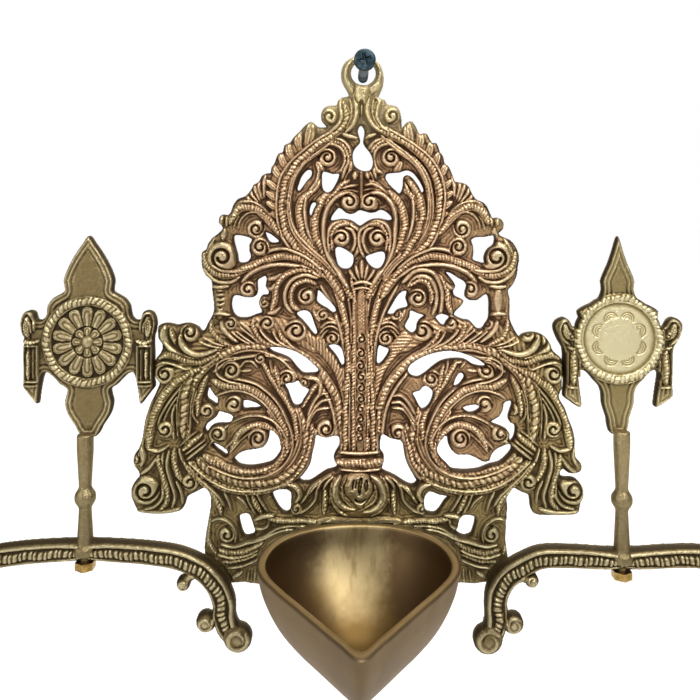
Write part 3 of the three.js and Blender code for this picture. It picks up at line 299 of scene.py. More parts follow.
class Field:
    """A casting seen from the room: a grid of depths with an outline.

    The grid is in millimetres in the frame's x and z. `inside` is the distance to the
    outline, positive inside, and `height` is the carving's height over the plate.
    """

    def __init__(self, node: str, step: float, mirror: float = 0.0) -> None:
        """Lays the grid over a node.

        Args:
            node: The CAD node that the grid covers.
            step: The distance between grid points.
            mirror: The x of the line that twins of a mark are mirrored at.
        """
        corners = box_mm(node)
        low, high = corners[0][[0, 2]], corners[1][[0, 2]]
        self.step = step
        self.mirror = mirror
        self.low = (low[0] - 3 * step, low[1] - 3 * step)
        self.columns = int((high[0] - self.low[0]) / step) + 4
        self.rows = int((high[1] - self.low[1]) / step) + 4
        self.x = self.low[0] + step * np.arange(self.columns)
        self.z = self.low[1] + step * np.arange(self.rows)
        self.gx, self.gz = np.meshgrid(self.x, self.z)
        self.inside = np.full(self.gx.shape, OUTSIDE)
        self.height = np.zeros(self.gx.shape)
        self.carved = np.zeros(self.gx.shape, bool)

    def window(self, low: Array, high: Array) -> tuple[slice, slice] | None:
        """The part of the grid within a box, or None if the box misses it."""
        c0 = max(0, int((low[0] - self.low[0]) / self.step))
        c1 = min(self.columns, int((high[0] - self.low[0]) / self.step) + 2)
        r0 = max(0, int((low[1] - self.low[1]) / self.step))
        r1 = min(self.rows, int((high[1] - self.low[1]) / self.step) + 2)
        if c0 >= c1 or r0 >= r1:
            return None
        return slice(r0, r1), slice(c0, c1)

    def part(self, low: Array, high: Array) -> "Field | None":
        """The part of the area within a box, which shares its values, or None if they miss."""
        view = self.window(low, high)
        if view is None:
            return None
        out = copy.copy(self)
        out.x, out.z = self.x[view[1]], self.z[view[0]]
        out.low, out.columns, out.rows = (out.x[0], out.z[0]), len(out.x), len(out.z)
        out.gx, out.gz = self.gx[view], self.gz[view]
        out.inside, out.height, out.carved = self.inside[view], self.height[view], self.carved[view]
        return out

    def outline_from_loops(self, loops: Iterable[Array], reach: float = 4.0) -> None:
        """Sets `inside` from closed loops, where a loop within a loop is a hole.

        Args:
            loops: Closed lines of points.
            reach: The distance up to which `inside` is exact.
        """
        nearest = np.full(self.gx.shape, reach)
        crossings = np.zeros((self.rows, self.columns + 1), int)
        for loop in loops:
            closed = np.vstack([loop, loop[:1]])
            away, near = self.along(closed, reach)[1:3]
            np.minimum(nearest, np.abs(away), out=nearest, where=near)
            for start, end in zip(closed, closed[1:]):
                self._cross_segment(crossings, start, end)
        solid = (np.cumsum(crossings, axis=1)[:, :-1] % 2) == 1
        self.inside = np.where(solid, nearest, -nearest)

    def _cross_segment(self, crossings: Array, a: Array, b: Array) -> None:
        """Counts where one segment crosses the grid's rows."""
        lower, upper = (a, b) if a[1] < b[1] else (b, a)
        r0 = int(math.ceil((lower[1] - self.low[1]) / self.step))
        r1 = int(math.ceil((upper[1] - self.low[1]) / self.step))
        for row in range(max(r0, 0), min(r1, self.rows)):
            share = (self.z[row] - lower[1]) / (upper[1] - lower[1])
            x = lower[0] + share * (upper[0] - lower[0])
            column = int(math.ceil((x - self.low[0]) / self.step))
            crossings[row, min(max(column, 0), self.columns)] += 1

    def along(self, points: Array, reach: float) -> tuple[Array, Array, Array, float]:
        """Where each grid point near a line lies on it.

        Args:
            points: The line, evenly sampled.
            reach: How far from the line to look, in millimetres.

        Returns:
            Distance along, signed distance across (positive to the left), a mask, and the
            line's length.
        """
        steps = np.linalg.norm(np.diff(points, axis=0), axis=1)
        run = np.concatenate([[0], np.cumsum(steps)])
        best = np.full(self.gx.shape, reach * reach)
        s_out, d_out = np.zeros(self.gx.shape), np.zeros(self.gx.shape)
        for i in range(len(points) - 1):
            a, b = points[i], points[i + 1]
            view = self.window(np.minimum(a, b) - reach, np.maximum(a, b) + reach)
            if view is None:
                continue
            tangent = (b - a) / max(steps[i], 1e-9)
            px, pz = self.gx[view] - a[0], self.gz[view] - a[1]
            held = np.clip(px * tangent[0] + pz * tangent[1], 0, steps[i])
            far = (px - held * tangent[0]) ** 2 + (pz - held * tangent[1]) ** 2
            side = tangent[0] * pz - tangent[1] * px
            closer = far < best[view]
            best[view] = np.where(closer, far, best[view])
            s_out[view] = np.where(closer, run[i] + held, s_out[view])
            d_out[view] = np.where(closer, np.copysign(np.sqrt(far), side), d_out[view])
        return s_out, d_out, best < reach * reach, float(run[-1])

    def carve(self, points: Array, width: float, end_width: float, height: float,
              section: Callable[[Array, Array, Array], Array]) -> None:
        """Lays one band over what is there.

        Args:
            points: The band's line, in millimetres.
            width: Its full width at the start, in millimetres.
            end_width: Its full width at the end, in millimetres.
            height: The height that the section's 1 stands for.
            section: Gives heights from place across, place along and distance across.
        """
        samples = smooth_line(points, 2 * self.step)
        reach = max(width, end_width) / 2
        part = self.part(samples.min(axis=0) - reach, samples.max(axis=0) + reach)
        if part is None:
            return
        s, d, near, length = part.along(samples, reach)
        half = (width + (end_width - width) * s / max(length, 1e-6)) / 2
        from_end = np.minimum(s, length - s) / (END_RUN * half)
        half *= END_SHARE + (1 - END_SHARE) * np.sqrt(np.clip(from_end, 0, 1))
        u = d / half
        self._lay(part, height * section(u, s, d), near & (np.abs(u) < 1))

    def _lay(self, part: "Field", height: Array, where: Array) -> None:
        """Sets a part's height and marks it as carved."""
        np.copyto(part.height, height, where=where)
        np.copyto(part.carved, True, where=where)

    def carve_stroke(self, stroke: Stroke) -> None:
        """Carves a stroke, and its twin if it has one."""
        twin = [flipped(stroke.points, self.mirror)] if stroke.both else []
        width, end_width, pitch = (
            DRAWING_UNIT * size for size in (stroke.width, stroke.end_width, stroke.pitch))
        for points in [stroke.points, *twin]:
            self.carve(points, width, end_width, stroke.height,
                       lambda u, s, d: band_section(stroke.band, u, s, d, pitch))

    def carve_scroll(self, scroll: Scroll) -> None:
        """Carves a scroll, and its twin if it has one: a dome, a groove wound in it and an eye."""
        centre = line(*scroll.centre)[0]
        radius, eye, ridge = (
            DRAWING_UNIT * size for size in (scroll.radius, scroll.eye, scroll.ridge))
        cut, outer = 0.22 + 0.07 * radius, radius - ridge
        t = np.linspace(0, 1, max(12, int(40 * abs(scroll.turns))))
        angle = math.radians(scroll.start) + 2 * math.pi * scroll.turns * t
        r = outer + (eye + cut * 0.6 - outer) * t ** 0.9
        r += ridge * np.exp(-t * abs(scroll.turns) / 0.07)
        path = spiral(centre[0], centre[1], r, angle)
        for flip in (False, True) if scroll.both else (False,):
            points = flipped(path, self.mirror) if flip else path
            middle = flipped(centre[None], self.mirror)[0] if flip else centre
            part = self.part(middle - radius, middle + radius)
            if part is None:
                continue
            far = np.hypot(part.gx - middle[0], part.gz - middle[1]) / radius
            dome = 0.3 + 0.55 * half_round(far, 4) + 0.15 * (1 - far)
            self._lay(part, scroll.height * dome, far < 1)
            d, near = part.along(smooth_line(points, self.step), cut)[1:3]
            groove = 0.62 * scroll.height * half_round(d / cut)
            self._lay(part, part.height - groove, near & (far < 1))
            ball = scroll.height * (0.5 + 0.38 * half_round(far * radius / eye))
            self._lay(part, np.maximum(part.height, ball), far * radius < eye)

    def carve_table(self, *tables: str) -> None:
        """Carves all marks of some tables, in their order."""
        for mark in (mark for table in tables for mark in read_marks(table)):
            carve = self.carve_stroke if isinstance(mark, Stroke) else self.carve_scroll
            carve(mark)

    def fill_between(self, pitch: float, low: float, high: float) -> None:
        """Fills what no mark covers with fine ridges that run along the marks.

        Args:
            pitch: The distance from ridge to ridge, in millimetres.
            low: The height of the grooves.
            high: The height of the ridges.
        """
        away = steps_from(self.carved) * self.step
        wave = 0.5 - 0.5 * np.cos(2 * math.pi * away / pitch)
        self.height = np.where(self.carved, self.height, low + (high - low) * wave ** 0.7)

    def soften(self) -> None:
        """Rounds the carving a little, as sand casting does."""
        self.height = 0.8 * self.height + 0.2 * blurred(self.height, int(0.7 / self.step))
        for axis in (0, 1):
            before, after = np.roll(self.height, 1, axis), np.roll(self.height, -1, axis)
            self.height = 0.16 * before + 0.68 * self.height + 0.16 * after


def steps_from(mask: Array, sweeps: int = 26, most: float = 40.0) -> Array:
    """How far each grid point is from the nearest True one.

    Args:
        mask: The points to measure from.
        sweeps: How many steps away it looks.
        most: What is given to points that it doesn't reach.

    Returns:
        The distances, in grid steps.
    """
    far = np.where(mask, 0.0, most)
    for _ in range(sweeps):
        for axis in (0, 1):
            for way in (1, -1):
                far = np.minimum(far, np.roll(far, way, axis) + 1.0)
        for way in ((1, 1), (1, -1), (-1, 1), (-1, -1)):
            far = np.minimum(far, np.roll(far, way, (0, 1)) + DIAGONAL)
    return far


def uneven(area: Field, size: float, seed: int) -> Array:
    """Smooth random numbers over an area, about -1 to 1, with lumps of a size in millimetres."""
    values = np.random.default_rng(seed).normal(size=area.gx.shape)
    smooth = blurred(values, max(1, int(size / area.step / 2)))
    return smooth / smooth.std() / 2


def blurred(values: Array, reach: int) -> Array:
    """Values averaged over a square, twice.

    Args:
        values: A grid.
        reach: Half the square's side, in grid steps.

    Returns:
        The smoother grid.
    """
    out = values
    for _ in range(2):
        for axis in (0, 1):
            pad = [(reach + 1, reach) if a == axis else (0, 0) for a in (0, 1)]
            sums = np.cumsum(np.pad(out, pad, mode="edge"), axis=axis)
            size = 2 * reach + 1
            upper = np.take(sums, range(size, sums.shape[axis]), axis=axis)
            lower = np.take(sums, range(0, sums.shape[axis] - size), axis=axis)
            out = (upper - lower) / size
    return out


def node_loops(node: str, depth: float) -> list[Array]:
    """The closed edges of a CAD node's flat face at one depth.

    Args:
        node: The node's name.
        depth: The depth of the face from the wall, in millimetres.

    Returns:
        One array of points for each loop, in millimetres.
    """
    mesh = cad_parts[node].data
    points = np.array([v.co for v in mesh.vertices], float) * 1000
    flat = np.abs(points[:, 1] + depth) < 0.004
    keys = [tuple(np.round(p[[0, 2]], 3)) for p in points]
    edges: dict[tuple, None] = {}
    for polygon in mesh.polygons:
        corners = list(polygon.vertices)
        if not flat[corners].all():
            continue
        for a, b in zip(corners, corners[1:] + corners[:1]):
            if (keys[b], keys[a]) in edges:
                del edges[(keys[b], keys[a])]
            else:
                edges[(keys[a], keys[b])] = None
    following: dict[tuple, list] = {}
    for a, b in edges:
        following.setdefault(a, []).append(b)
    loops = []
    while following:
        start = next(iter(following))
        loop, here = [], start
        while here in following:
            loop.append(here)
            onward = following[here].pop()
            if not following[here]:
                del following[here]
            here = onward
        if len(loop) > 5:
            loops.append(np.array(loop, float))
    return loops


def smooth_loops(node: str, step: float, least: float = 5.0) -> list[Array]:
    """Smooth outlines of a cast CAD node, without the holes of its pins.

    Args:
        node: The node's name.
        step: The distance between points.
        least: Loops smaller than this are left out, in millimetres.

    Returns:
        The loops.
    """
    loops = node_loops(node, PLATE_BACK)
    return [smooth_line(loop, step, closed=True)
            for loop in loops if np.ptp(loop, axis=0).max() > least]


@dataclass
class Casting:
    """A piece with a carved front, straight sides and a flat back.

    Args:
        name: The name of the Blender object.
        area: Its outline and carving.
        front: Depth of the uncarved front from the wall, in millimetres.
        back: Depth of the back from the wall, in millimetres.
        rounding: The radius of the front edges, in millimetres.
        back_rounding: The radius of the back edges, in millimetres.
        limit: The greatest depth that any of it reaches.
        cut: The greatest depth at each grid point, or None.
    """

    name: str
    area: Field
    front: float
    back: float
    rounding: float = 1.9
    back_rounding: float = 0.5
    limit: float = NO_LIMIT
    cut: Array | None = None

    def depths(self) -> tuple[Array, Array]:
        """Depths of the front and the back at each grid point, in millimetres."""
        front_edge, back_edge = (
            half_round(1 - np.clip(self.area.inside / rounding, 0, 1))
            for rounding in (self.rounding, self.back_rounding))
        front = self.front - self.rounding * 0.7 * (1 - front_edge) + self.area.height * front_edge
        front = np.minimum(front, self.limit)
        if self.cut is not None:
            front = np.minimum(front, self.cut)
        return front, self.back + self.back_rounding * (1 - back_edge)

    def wear(self, front: Array) -> Array:
        """How far each point stands out from its surroundings: 0 deep, 0.5 level, 1 a crest."""
        step = self.area.step
        solid = (self.area.inside > 0).astype(float)
        filled = np.where(solid > 0, front, 0.0)
        total = np.zeros_like(front)
        for reach, gain in ((0.7, 0.8), (2.4, 0.36)):
            cells = max(1, int(reach / step))
            weight = np.maximum(blurred(solid, cells), 1e-3)
            total += gain * (front - blurred(filled, cells) / weight)
        return np.clip(0.5 + total, 0, 1)

    def build(self) -> bpy.types.Object:
        """Makes the mesh, with its wear as a vertex attribute.

        Returns:
            The new object, linked to the scene.
        """
        area = self.area
        front, back = self.depths()
        wear = self.wear(front)
        keep = kept_cells(area.inside)
        used = np.zeros(area.gx.shape, bool)
        rows, cols = np.nonzero(keep)
        for dr, dc in ((0, 0), (0, 1), (1, 1), (1, 0)):
            used[rows + dr, cols + dc] = True
        px, pz = self._snapped(keep, used)
        index = np.full(area.gx.shape, -1)
        count = int(used.sum())
        index[used] = np.arange(count)
        front_points = np.stack([px[used], -front[used], pz[used]], axis=1)
        back_points = np.stack([px[used], -back[used], pz[used]], axis=1)
        a, b = index[rows, cols], index[rows, cols + 1]
        c, d = index[rows + 1, cols + 1], index[rows + 1, cols]
        faces = [np.stack([a, b, c, d], axis=1), np.stack([d, c, b, a], axis=1) + count]
        faces += self._walls(keep, index, count)
        points = np.vstack([front_points, back_points]) * MM
        made = mesh_object(self.name, points, np.vstack(faces))
        add_attribute(made, "wear", np.concatenate([wear[used], np.full(count, BACK_WEAR)]))
        return made

    def _snapped(self, keep: Array, used: Array) -> tuple[Array, Array]:
        """Grid places, with those on the kept cells' edge moved onto the outline."""
        area = self.area
        padded = np.pad(keep, 1)
        around = padded[:-1, :-1] & padded[:-1, 1:] & padded[1:, :-1] & padded[1:, 1:]
        edge = used & ~around
        slope_z, slope_x = np.gradient(area.inside, area.step)
        size = np.maximum(np.hypot(slope_x, slope_z), 0.5)
        move = np.where(edge, np.clip(area.inside, -area.step, area.step), 0.0) / size**2
        return area.gx - move * slope_x, area.gz - move * slope_z

    def _walls(self, keep: Array, index: Array, count: int) -> list[Array]:
        """The faces round the edge, between the front and the back."""
        padded = np.pad(keep, 1)
        walls = []
        sides = (
            (padded[:-2, 1:-1], (0, 0), (0, 1)), (padded[2:, 1:-1], (1, 1), (1, 0)),
            (padded[1:-1, :-2], (1, 0), (0, 0)), (padded[1:-1, 2:], (0, 1), (1, 1)),
        )
        for neighbour, first, second in sides:
            rows, cols = np.nonzero(keep & ~neighbour)
            a = index[rows + first[0], cols + first[1]]
            b = index[rows + second[0], cols + second[1]]
            walls.append(np.stack([b, a, a + count, b + count], axis=1))
        return walls


def kept_cells(inside: Array) -> Array:
    """Which grid cells belong to a piece.

    Args:
        inside: Distance to the outline at each grid point, positive inside.

    Returns:
        True for each cell whose middle is inside, with no cells that meet only at a corner.
    """
    middle = (inside[:-1, :-1] + inside[1:, :-1] + inside[:-1, 1:] + inside[1:, 1:]) / 4
    keep = middle > 0
    for _ in range(2):
        one = keep[:-1, :-1] & keep[1:, 1:] & ~keep[1:, :-1] & ~keep[:-1, 1:]
        two = keep[1:, :-1] & keep[:-1, 1:] & ~keep[:-1, :-1] & ~keep[1:, 1:]
        keep[1:, :-1] |= one
        keep[:-1, :-1] |= two
    return keep


def mesh_object(name: str, points: Array, faces: Array, sharp: float = 60.0) -> bpy.types.Object:
    """A smooth-shaded object from arrays.

    Args:
        name: The object's name.
        points: Its vertices, in metres.
        faces: Its faces, all with the same number of corners.
        sharp: Edges that turn by more than this many degrees stay sharp.

    Returns:
        The new object, linked to the scene.
    """
    mesh = bpy.data.meshes.new(name)
    corners = faces.shape[1]
    mesh.vertices.add(len(points))
    mesh.vertices.foreach_set("co", points.astype(np.float32).ravel())
    mesh.loops.add(faces.size)
    mesh.loops.foreach_set("vertex_index", faces.astype(np.int32).ravel())
    mesh.polygons.add(len(faces))
    mesh.polygons.foreach_set("loop_start", np.arange(0, faces.size, corners, dtype=np.int32))
    mesh.polygons.foreach_set("loop_total", np.full(len(faces), corners, np.int32))
    mesh.update(calc_edges=True)
    mesh.validate()
    mesh.shade_smooth()
    mesh.set_sharp_from_angle(angle=math.radians(sharp))
    made = bpy.data.objects.new(name, mesh)
    bpy.context.scene.collection.objects.link(made)
    return made


def add_attribute(piece: bpy.types.Object, name: str, values: Array) -> None:
    """Stores one number for each vertex of a piece."""
    attribute = piece.data.attributes.new(name, "FLOAT", "POINT")
    attribute.data.foreach_set("value", values.astype(np.float32))


# Shader tools

Input = "Value | float | str | Sequence[float]"


def math_node(operation: str, swapped: bool = False) -> Callable[..., "Value"]:
    """A Python operator that adds one Math node.

    Args:
        operation: The node's operation.
        swapped: Whether the value stands on the operator's right.

    Returns:
        The method.
    """
    def method(self: "Value", other: "Value | float") -> "Value":
        """The node on the value and what stands on the other side."""
        first, second = (other, self) if swapped else (self, other)
        return self.shader.node("ShaderNodeMath", {"operation": operation}, {0: first, 1: second})
    return method


@dataclass(frozen=True)
class Value:
    """A shader value. Sums on it add Math nodes.

    Args:
        shader: The node tree that it belongs to.
        socket: The output that gives it, or None after the last node.
    """

    shader: "Shader"
    socket: bpy.types.NodeSocket | None

    __add__, __radd__ = math_node("ADD"), math_node("ADD", True)
    __sub__, __rsub__ = math_node("SUBTRACT"), math_node("SUBTRACT", True)
    __mul__, __rmul__ = math_node("MULTIPLY"), math_node("MULTIPLY", True)


class Shader:
    """The node tree of one material while it is made."""

    def __init__(self, name: str) -> None:
        """Starts a material of that name with an empty tree."""
        self.material = bpy.data.materials.new(name)
        self.material.use_nodes = True
        self.tree = self.material.node_tree
        self.tree.nodes.clear()

    def node(self, kind: str, settings: dict | None = None, inputs: dict | None = None,
             output: int | str = 0) -> Value:
        """Adds a node.

        Args:
            kind: The node's type.
            settings: Its settings, such as a Math node's operation.
            inputs: Values or links of its sockets, by name or number.
            output: Which output to use.

        Returns:
            The output as a value.
        """
        made = self.tree.nodes.new(kind)
        for key, value in (settings or {}).items():
            setattr(made, key, value)
        for key, value in (inputs or {}).items():
            socket = made.inputs[key]
            if isinstance(value, Value):
                self.tree.links.new(value.socket, socket)
            else:
                socket.default_value = value
        return Value(self, made.outputs[output] if made.outputs else None)

    def mix(self, share: Input, first: Input, second: Input) -> Value:
        """A colour between two, where a plain one is written as its display code."""
        first, second = (hex_colour(c) if isinstance(c, str) else c for c in (first, second))
        return self.node("ShaderNodeMix", {"data_type": "RGBA"},
                         {0: share, 6: first, 7: second}, output=2)

    def step(self, value: Value, low: float, high: float) -> Value:
        """0 below low, 1 above high, and smooth between."""
        return self.node("ShaderNodeMapRange", {"interpolation_type": "SMOOTHSTEP"},
                         {"Value": value, "From Min": low, "From Max": high})

    def noise(self, place: Value, scale: float, detail: float = 3.0, rough: float = 0.55) -> Value:
        """Cloudy noise from 0 to 1."""
        return self.node("ShaderNodeTexNoise", inputs={
            "Vector": place, "Scale": scale, "Detail": detail, "Roughness": rough})

    def place(self) -> Value:
        """The place in the frame, which rides with the piece."""
        return self.node("ShaderNodeTexCoord", output="Object")

    def axis(self, place: Value, name: str) -> Value:
        """A place's X, Y or Z."""
        return self.node("ShaderNodeSeparateXYZ", inputs={0: place}, output=name)

    def absolute(self, value: Value) -> Value:
        """A value without its sign."""
        return self.node("ShaderNodeMath", {"operation": "ABSOLUTE"}, {0: value})

    def attribute(self, name: str) -> Value:
        """A vertex attribute."""
        return self.node("ShaderNodeAttribute", {"attribute_name": name}, output="Fac")

    def bump(self, height: Value, strength: float, distance: float) -> Value:
        """A bumped normal."""
        return self.node("ShaderNodeBump", inputs={
            "Height": height, "Strength": strength, "Distance": distance})

    def light_path(self, ray: str) -> Value:
        """1 for rays of one kind, such as Is Camera Ray, and 0 for others."""
        return self.node("ShaderNodeLightPath", output=ray)

    def finish(self, inputs: dict) -> bpy.types.Material:
        """Ends the tree in a Principled shader.

        Args:
            inputs: Values or links of the shader's sockets.

        Returns:
            The finished material.
        """
        surface = self.node("ShaderNodeBsdfPrincipled", inputs=inputs)
        self.node("ShaderNodeOutputMaterial", inputs={"Surface": surface})
        return self.material


@dataclass(frozen=True)
class CarvedBrass:
    """Cast and carved brass: dark in its hollows, bright where hands and cloths reach.

    Its colours are display codes: of the worn crests, the level parts and the hollows, and
    the same three for the redder middle of the tree, where `warmth` says how much of them is
    used. `dish` is the middle and radius, in metres, of a ball that takes in a pale dish, or
    None. The pairs are places between which a tint comes up, in metres: among them the
    painted shade at the foot behind the bowl and at the left, and the painted light on the
    top round the ring.
    """

    name: str
    crest: str = "beb189"
    body: str = "8f7b50"
    hollow: str = "372913"
    warm_crest: str = "cdb392"
    warm_body: str = "9e7c5a"
    warm_hollow: str = "3c2617"
    warmth: float = 1.0
    dish: tuple[Point3, float] | None = None
    dish_low: str = "94855a"
    dish_high: str = "c9be98"
    tarnish: str = "6b5128"
    # Painted shade: the colour of the bowl's painted shadow on the foot and of the darker left
    # side.
    painted_shade: str = "33270f"
    # Painted light: the paler colour of the top round the ring.
    painted_top_light: str = "d8c698"
    tree_side: Point = (0.035, 0.078)
    tree_foot: Point = (-0.174, -0.158)
    tree_top: Point = (0.012, 0.04)
    # Places of the painted shade, in metres: the middle line that it mostly spares, the foot behind
    # the bowl and the left side.
    painted_shade_middle: Point = (0.012, 0.03)
    painted_shade_foot: Point = (0.15, 0.19)
    painted_shade_left: Point = (0.015, 0.06)
    # Heights, in metres, between which the top round the ring is painted paler, as painted light.
    ring: Point = (-0.034, -0.008)

    def make(self) -> bpy.types.Material:
        """Builds the material.

        Returns:
            The material.
        """
        shader = Shader(self.name)
        place = shader.place()
        wear = shader.attribute("wear")
        cloud = shader.noise(place, 55.0, 4.0)
        grain = shader.noise(place, 900.0, 5.0, 0.65)
        worn = wear + (cloud - 0.5) * 0.22 + (grain - 0.5) * 0.16
        olive = self._three(shader, worn, self.hollow, self.body, self.crest)
        warm = self._three(shader, worn, self.warm_hollow, self.warm_body, self.warm_crest)
        colour = shader.mix(self._middle(shader, place, cloud), olive, warm)
        tarnish = shader.step(shader.noise(place, 140.0, 6.0, 0.7), 0.56, 0.7)
        colour = shader.mix(tarnish * 0.35, colour, self.tarnish)
        # Painted shade: the foot behind the bowl is darkened as the bowl's shadow, and the left
        # side a little.
        colour = shader.mix(self._painted_shade(shader, place, cloud), colour, self.painted_shade)
        # Painted light: the top round the ring is painted paler.
        ring = shader.step(shader.axis(place, "Z"), *self.ring)
        colour = shader.mix(ring * 0.5, colour, self.painted_top_light)
        if self.dish is not None:
            middle, radius = self.dish
            far = shader.node("ShaderNodeVectorMath", {"operation": "DISTANCE"},
                              {0: place, 1: middle}, output="Value")
            pale = 1.0 - shader.step(far, radius * 0.985, radius * 1.01)
            worn_pale = shader.mix(shader.step(worn, 0.25, 0.5), self.dish_low, self.dish_high)
            colour = shader.mix(pale, colour, worn_pale)
        high = shader.step(worn, 0.15, 0.75)
        pits = shader.node("ShaderNodeTexVoronoi", inputs={"Vector": place, "Scale": 900.0})
        chisel = shader.noise(place, 620.0, 2.0)
        relief = grain * 0.5 + shader.step(pits, 0.0, 0.55) * 0.5 + chisel * 1.2
        return shader.finish({
            "Base Color": colour,
            "Metallic": 0.5 + high * 0.45,
            "Specular Tint": (0.8, 0.7, 0.55, 1.0),
            "Roughness": 0.62 - high * 0.2 + (grain - 0.5) * 0.2,
            "Normal": shader.bump(relief, 0.65, 0.00034),
        })

    def _three(self, shader: Shader, worn: Value, hollow: str, body: str, crest: str) -> Value:
        """Hollow, body and crest colours by wear."""
        low = shader.mix(shader.step(worn, 0.1, 0.48), hollow, body)
        return shader.mix(shader.step(worn, 0.5, 0.92), low, crest)

    def _middle(self, shader: Shader, place: Value, cloud: Value) -> Value:
        """How far the redder colours reach: the middle of the tree, not its foot or ring."""
        x, z = shader.axis(place, "X"), shader.axis(place, "Z")
        side = shader.step(shader.absolute(x) + (cloud - 0.5) * 0.05, *self.tree_side)
        foot = shader.step(z, *self.tree_foot)
        top = shader.step(z * -1.0, *self.tree_top)
        return (1.0 - side) * foot * top * self.warmth

    def _painted_shade(self, shader: Shader, place: Value, cloud: Value) -> Value:
        """How much painted shade a place gets: a painted shadow, most at the foot behind the bowl,
        and a little painted shade at the left.
        """
        x, z = shader.axis(place, "X"), shader.axis(place, "Z")
        ragged = (cloud - 0.5) * 0.03
        side = shader.step(shader.absolute(x), *self.painted_shade_middle)
        foot = shader.step(z * -1.0 + ragged, *self.painted_shade_foot) * (0.02 + side * 0.98)
        left = shader.step(x * -1.0 + ragged, *self.painted_shade_left)
        return foot * 0.42 + left * (1.0 - foot) * 0.22


@dataclass(frozen=True)
class SpunBrass:
    """Smooth satin brass of the bowl, with dark reflections painted on the sides of its inside.

    Its colours are display codes: of the clean metal inside, the dark reflections painted on
    its sides, its part towards the spout, the handled outside and its greyer clouds, the
    painted highlight on the rim and dark spots. The pairs are distances from its middle line
    and from the wall, in metres, between which the painted reflections and the spout's brown
    come up.
    """

    name: str
    bright: str = "9d8b65"
    # Painted reflection: the dark colour painted on the sides of the inside.
    painted_dark_reflection: str = "53402a"
    front: str = "5f4a28"
    outside: str = "6b5940"
    grey: str = "62523f"
    # Painted highlight: the paler colour of the rim.
    lip: str = "ab9466"
    spots: str = "3d2c14"
    rough: float = 0.42
    middle_x: float = -0.0022
    # Distances from the middle line, in metres, over which the painted dark reflections come up.
    painted_reflection_reach: Point = (0.0095, 0.019)
    spout: Point = (0.018, 0.034)

    def make(self) -> bpy.types.Material:
        """Builds the material.

        Returns:
            The material.
        """
        shader = Shader(self.name)
        place = shader.place()
        x, y = shader.axis(place, "X"), shader.axis(place, "Y")
        cloud = shader.noise(place, 30.0, 5.0, 0.6)
        smear = shader.noise(place, 110.0, 6.0, 0.7)
        grain = shader.noise(place, 1500.0, 4.0)
        slanted = shader.node("ShaderNodeMapping", inputs={
            "Vector": place, "Rotation": (0.0, 0.5, 0.0), "Scale": (1.0, 1.0, 14.0)})
        scratch = shader.noise(slanted, 300.0, 8.0, 0.8)
        inside = self._inside(shader, x, y, cloud, smear)
        outside = shader.mix(shader.step(cloud, 0.42, 0.6), self.outside, self.grey)
        inner = shader.attribute("inner")
        colour = shader.mix(shader.step(inner, 0.5, 0.8), outside, inside)
        # Painted highlight: the rim between the outside and the inside is painted paler.
        rim = shader.step(inner, 0.05, 0.3) * (1.0 - shader.step(inner, 0.6, 0.9))
        colour = shader.mix(rim * 0.8, colour, self.lip)
        spots = shader.step(shader.noise(place, 420.0, 4.0, 0.75), 0.66, 0.74)
        colour = shader.mix(spots * 0.45, colour, self.spots)
        return shader.finish({
            "Base Color": colour,
            "Metallic": 0.95,
            "Specular Tint": (0.85, 0.78, 0.7, 1.0),
            "Roughness": self.rough + cloud * 0.1 + (scratch - 0.5) * 0.22,
            "Normal": shader.bump(scratch * 0.8 + grain * 0.3, 0.14, 0.0002),
        })

    def _inside(self, shader: Shader, x: Value, y: Value, cloud: Value, smear: Value) -> Value:
        """The inside's colour: bright in the middle, with dark reflections painted at the sides,
        browner at the spout.
        """
        ragged = (cloud - 0.5) * 0.03
        off = shader.absolute(x - self.middle_x + ragged + (smear - 0.5) * 0.01)
        # The sides' painted dark reflections.
        side = shader.step(off, *self.painted_reflection_reach)
        spout = shader.step(y * -1.0 + ragged, *self.spout)
        middle = shader.mix(spout, self.bright, self.front)
        drawn_out = shader.node("ShaderNodeMapping", inputs={
            "Vector": shader.place(), "Scale": (1.0, 0.3, 0.3)})
        streak = shader.step(shader.noise(drawn_out, 150.0, 4.0, 0.6), 0.5, 0.66)
        middle = shader.mix(streak * 0.5, middle, self.front)
        # Painted reflection: the sides of the inside are darkened.
        return shader.mix(side * 0.92, middle, self.painted_dark_reflection)


@dataclass(frozen=True)
class PlainMetal:
    """Bare or blackened metal of the fasteners, with the colour of its worn spots."""

    name: str
    colour: str
    worn: str
    metallic: float = 1.0
    rough: float = 0.35

    def make(self) -> bpy.types.Material:
        """Builds the material.

        Returns:
            The material.
        """
        shader = Shader(self.name)
        place = shader.place()
        cloud = shader.noise(place, 240.0, 5.0, 0.65)
        grain = shader.noise(place, 2200.0, 3.0)
        colour = shader.mix(shader.step(cloud, 0.5, 0.66), self.colour, self.worn)
        return shader.finish({
            "Base Color": colour,
            "Metallic": self.metallic,
            "Roughness": self.rough + (cloud - 0.5) * 0.25,
            "Normal": shader.bump(grain, 0.15, 0.0001),
        })


# The carving of the tree, in drawing units. What is later in a list lies on top.
VINE = """
rope 18-16 h2 p7: 318,350 300,336 276,326 250,324 226,330 204,344 186,362 172,384
beads 9-11 h2.9 p5: 343,440 335,395 310,362 280,348 250,347 225,353 207,365 195,380 188,400
 185,425 188,445
ridge 4: 338,446 330,402 307,370 279,357 251,356 229,361 213,372
beads 10-8 p5: 190,462 205,476 228,488 252,491 275,487 292,478 303,463 309,445 312,425
twin 9-7 h2.5: 200,458 215,470 235,479 255,481 275,476 288,465 297,450 301,430 300,415
beads 8-6 h2.7 p4.4: 213,458 228,468 250,473 268,470 281,460 288,446 289,430 282,415 272,405
beads 9-8 h2.2 p4.6: 203,480 213,495 220,510
"""

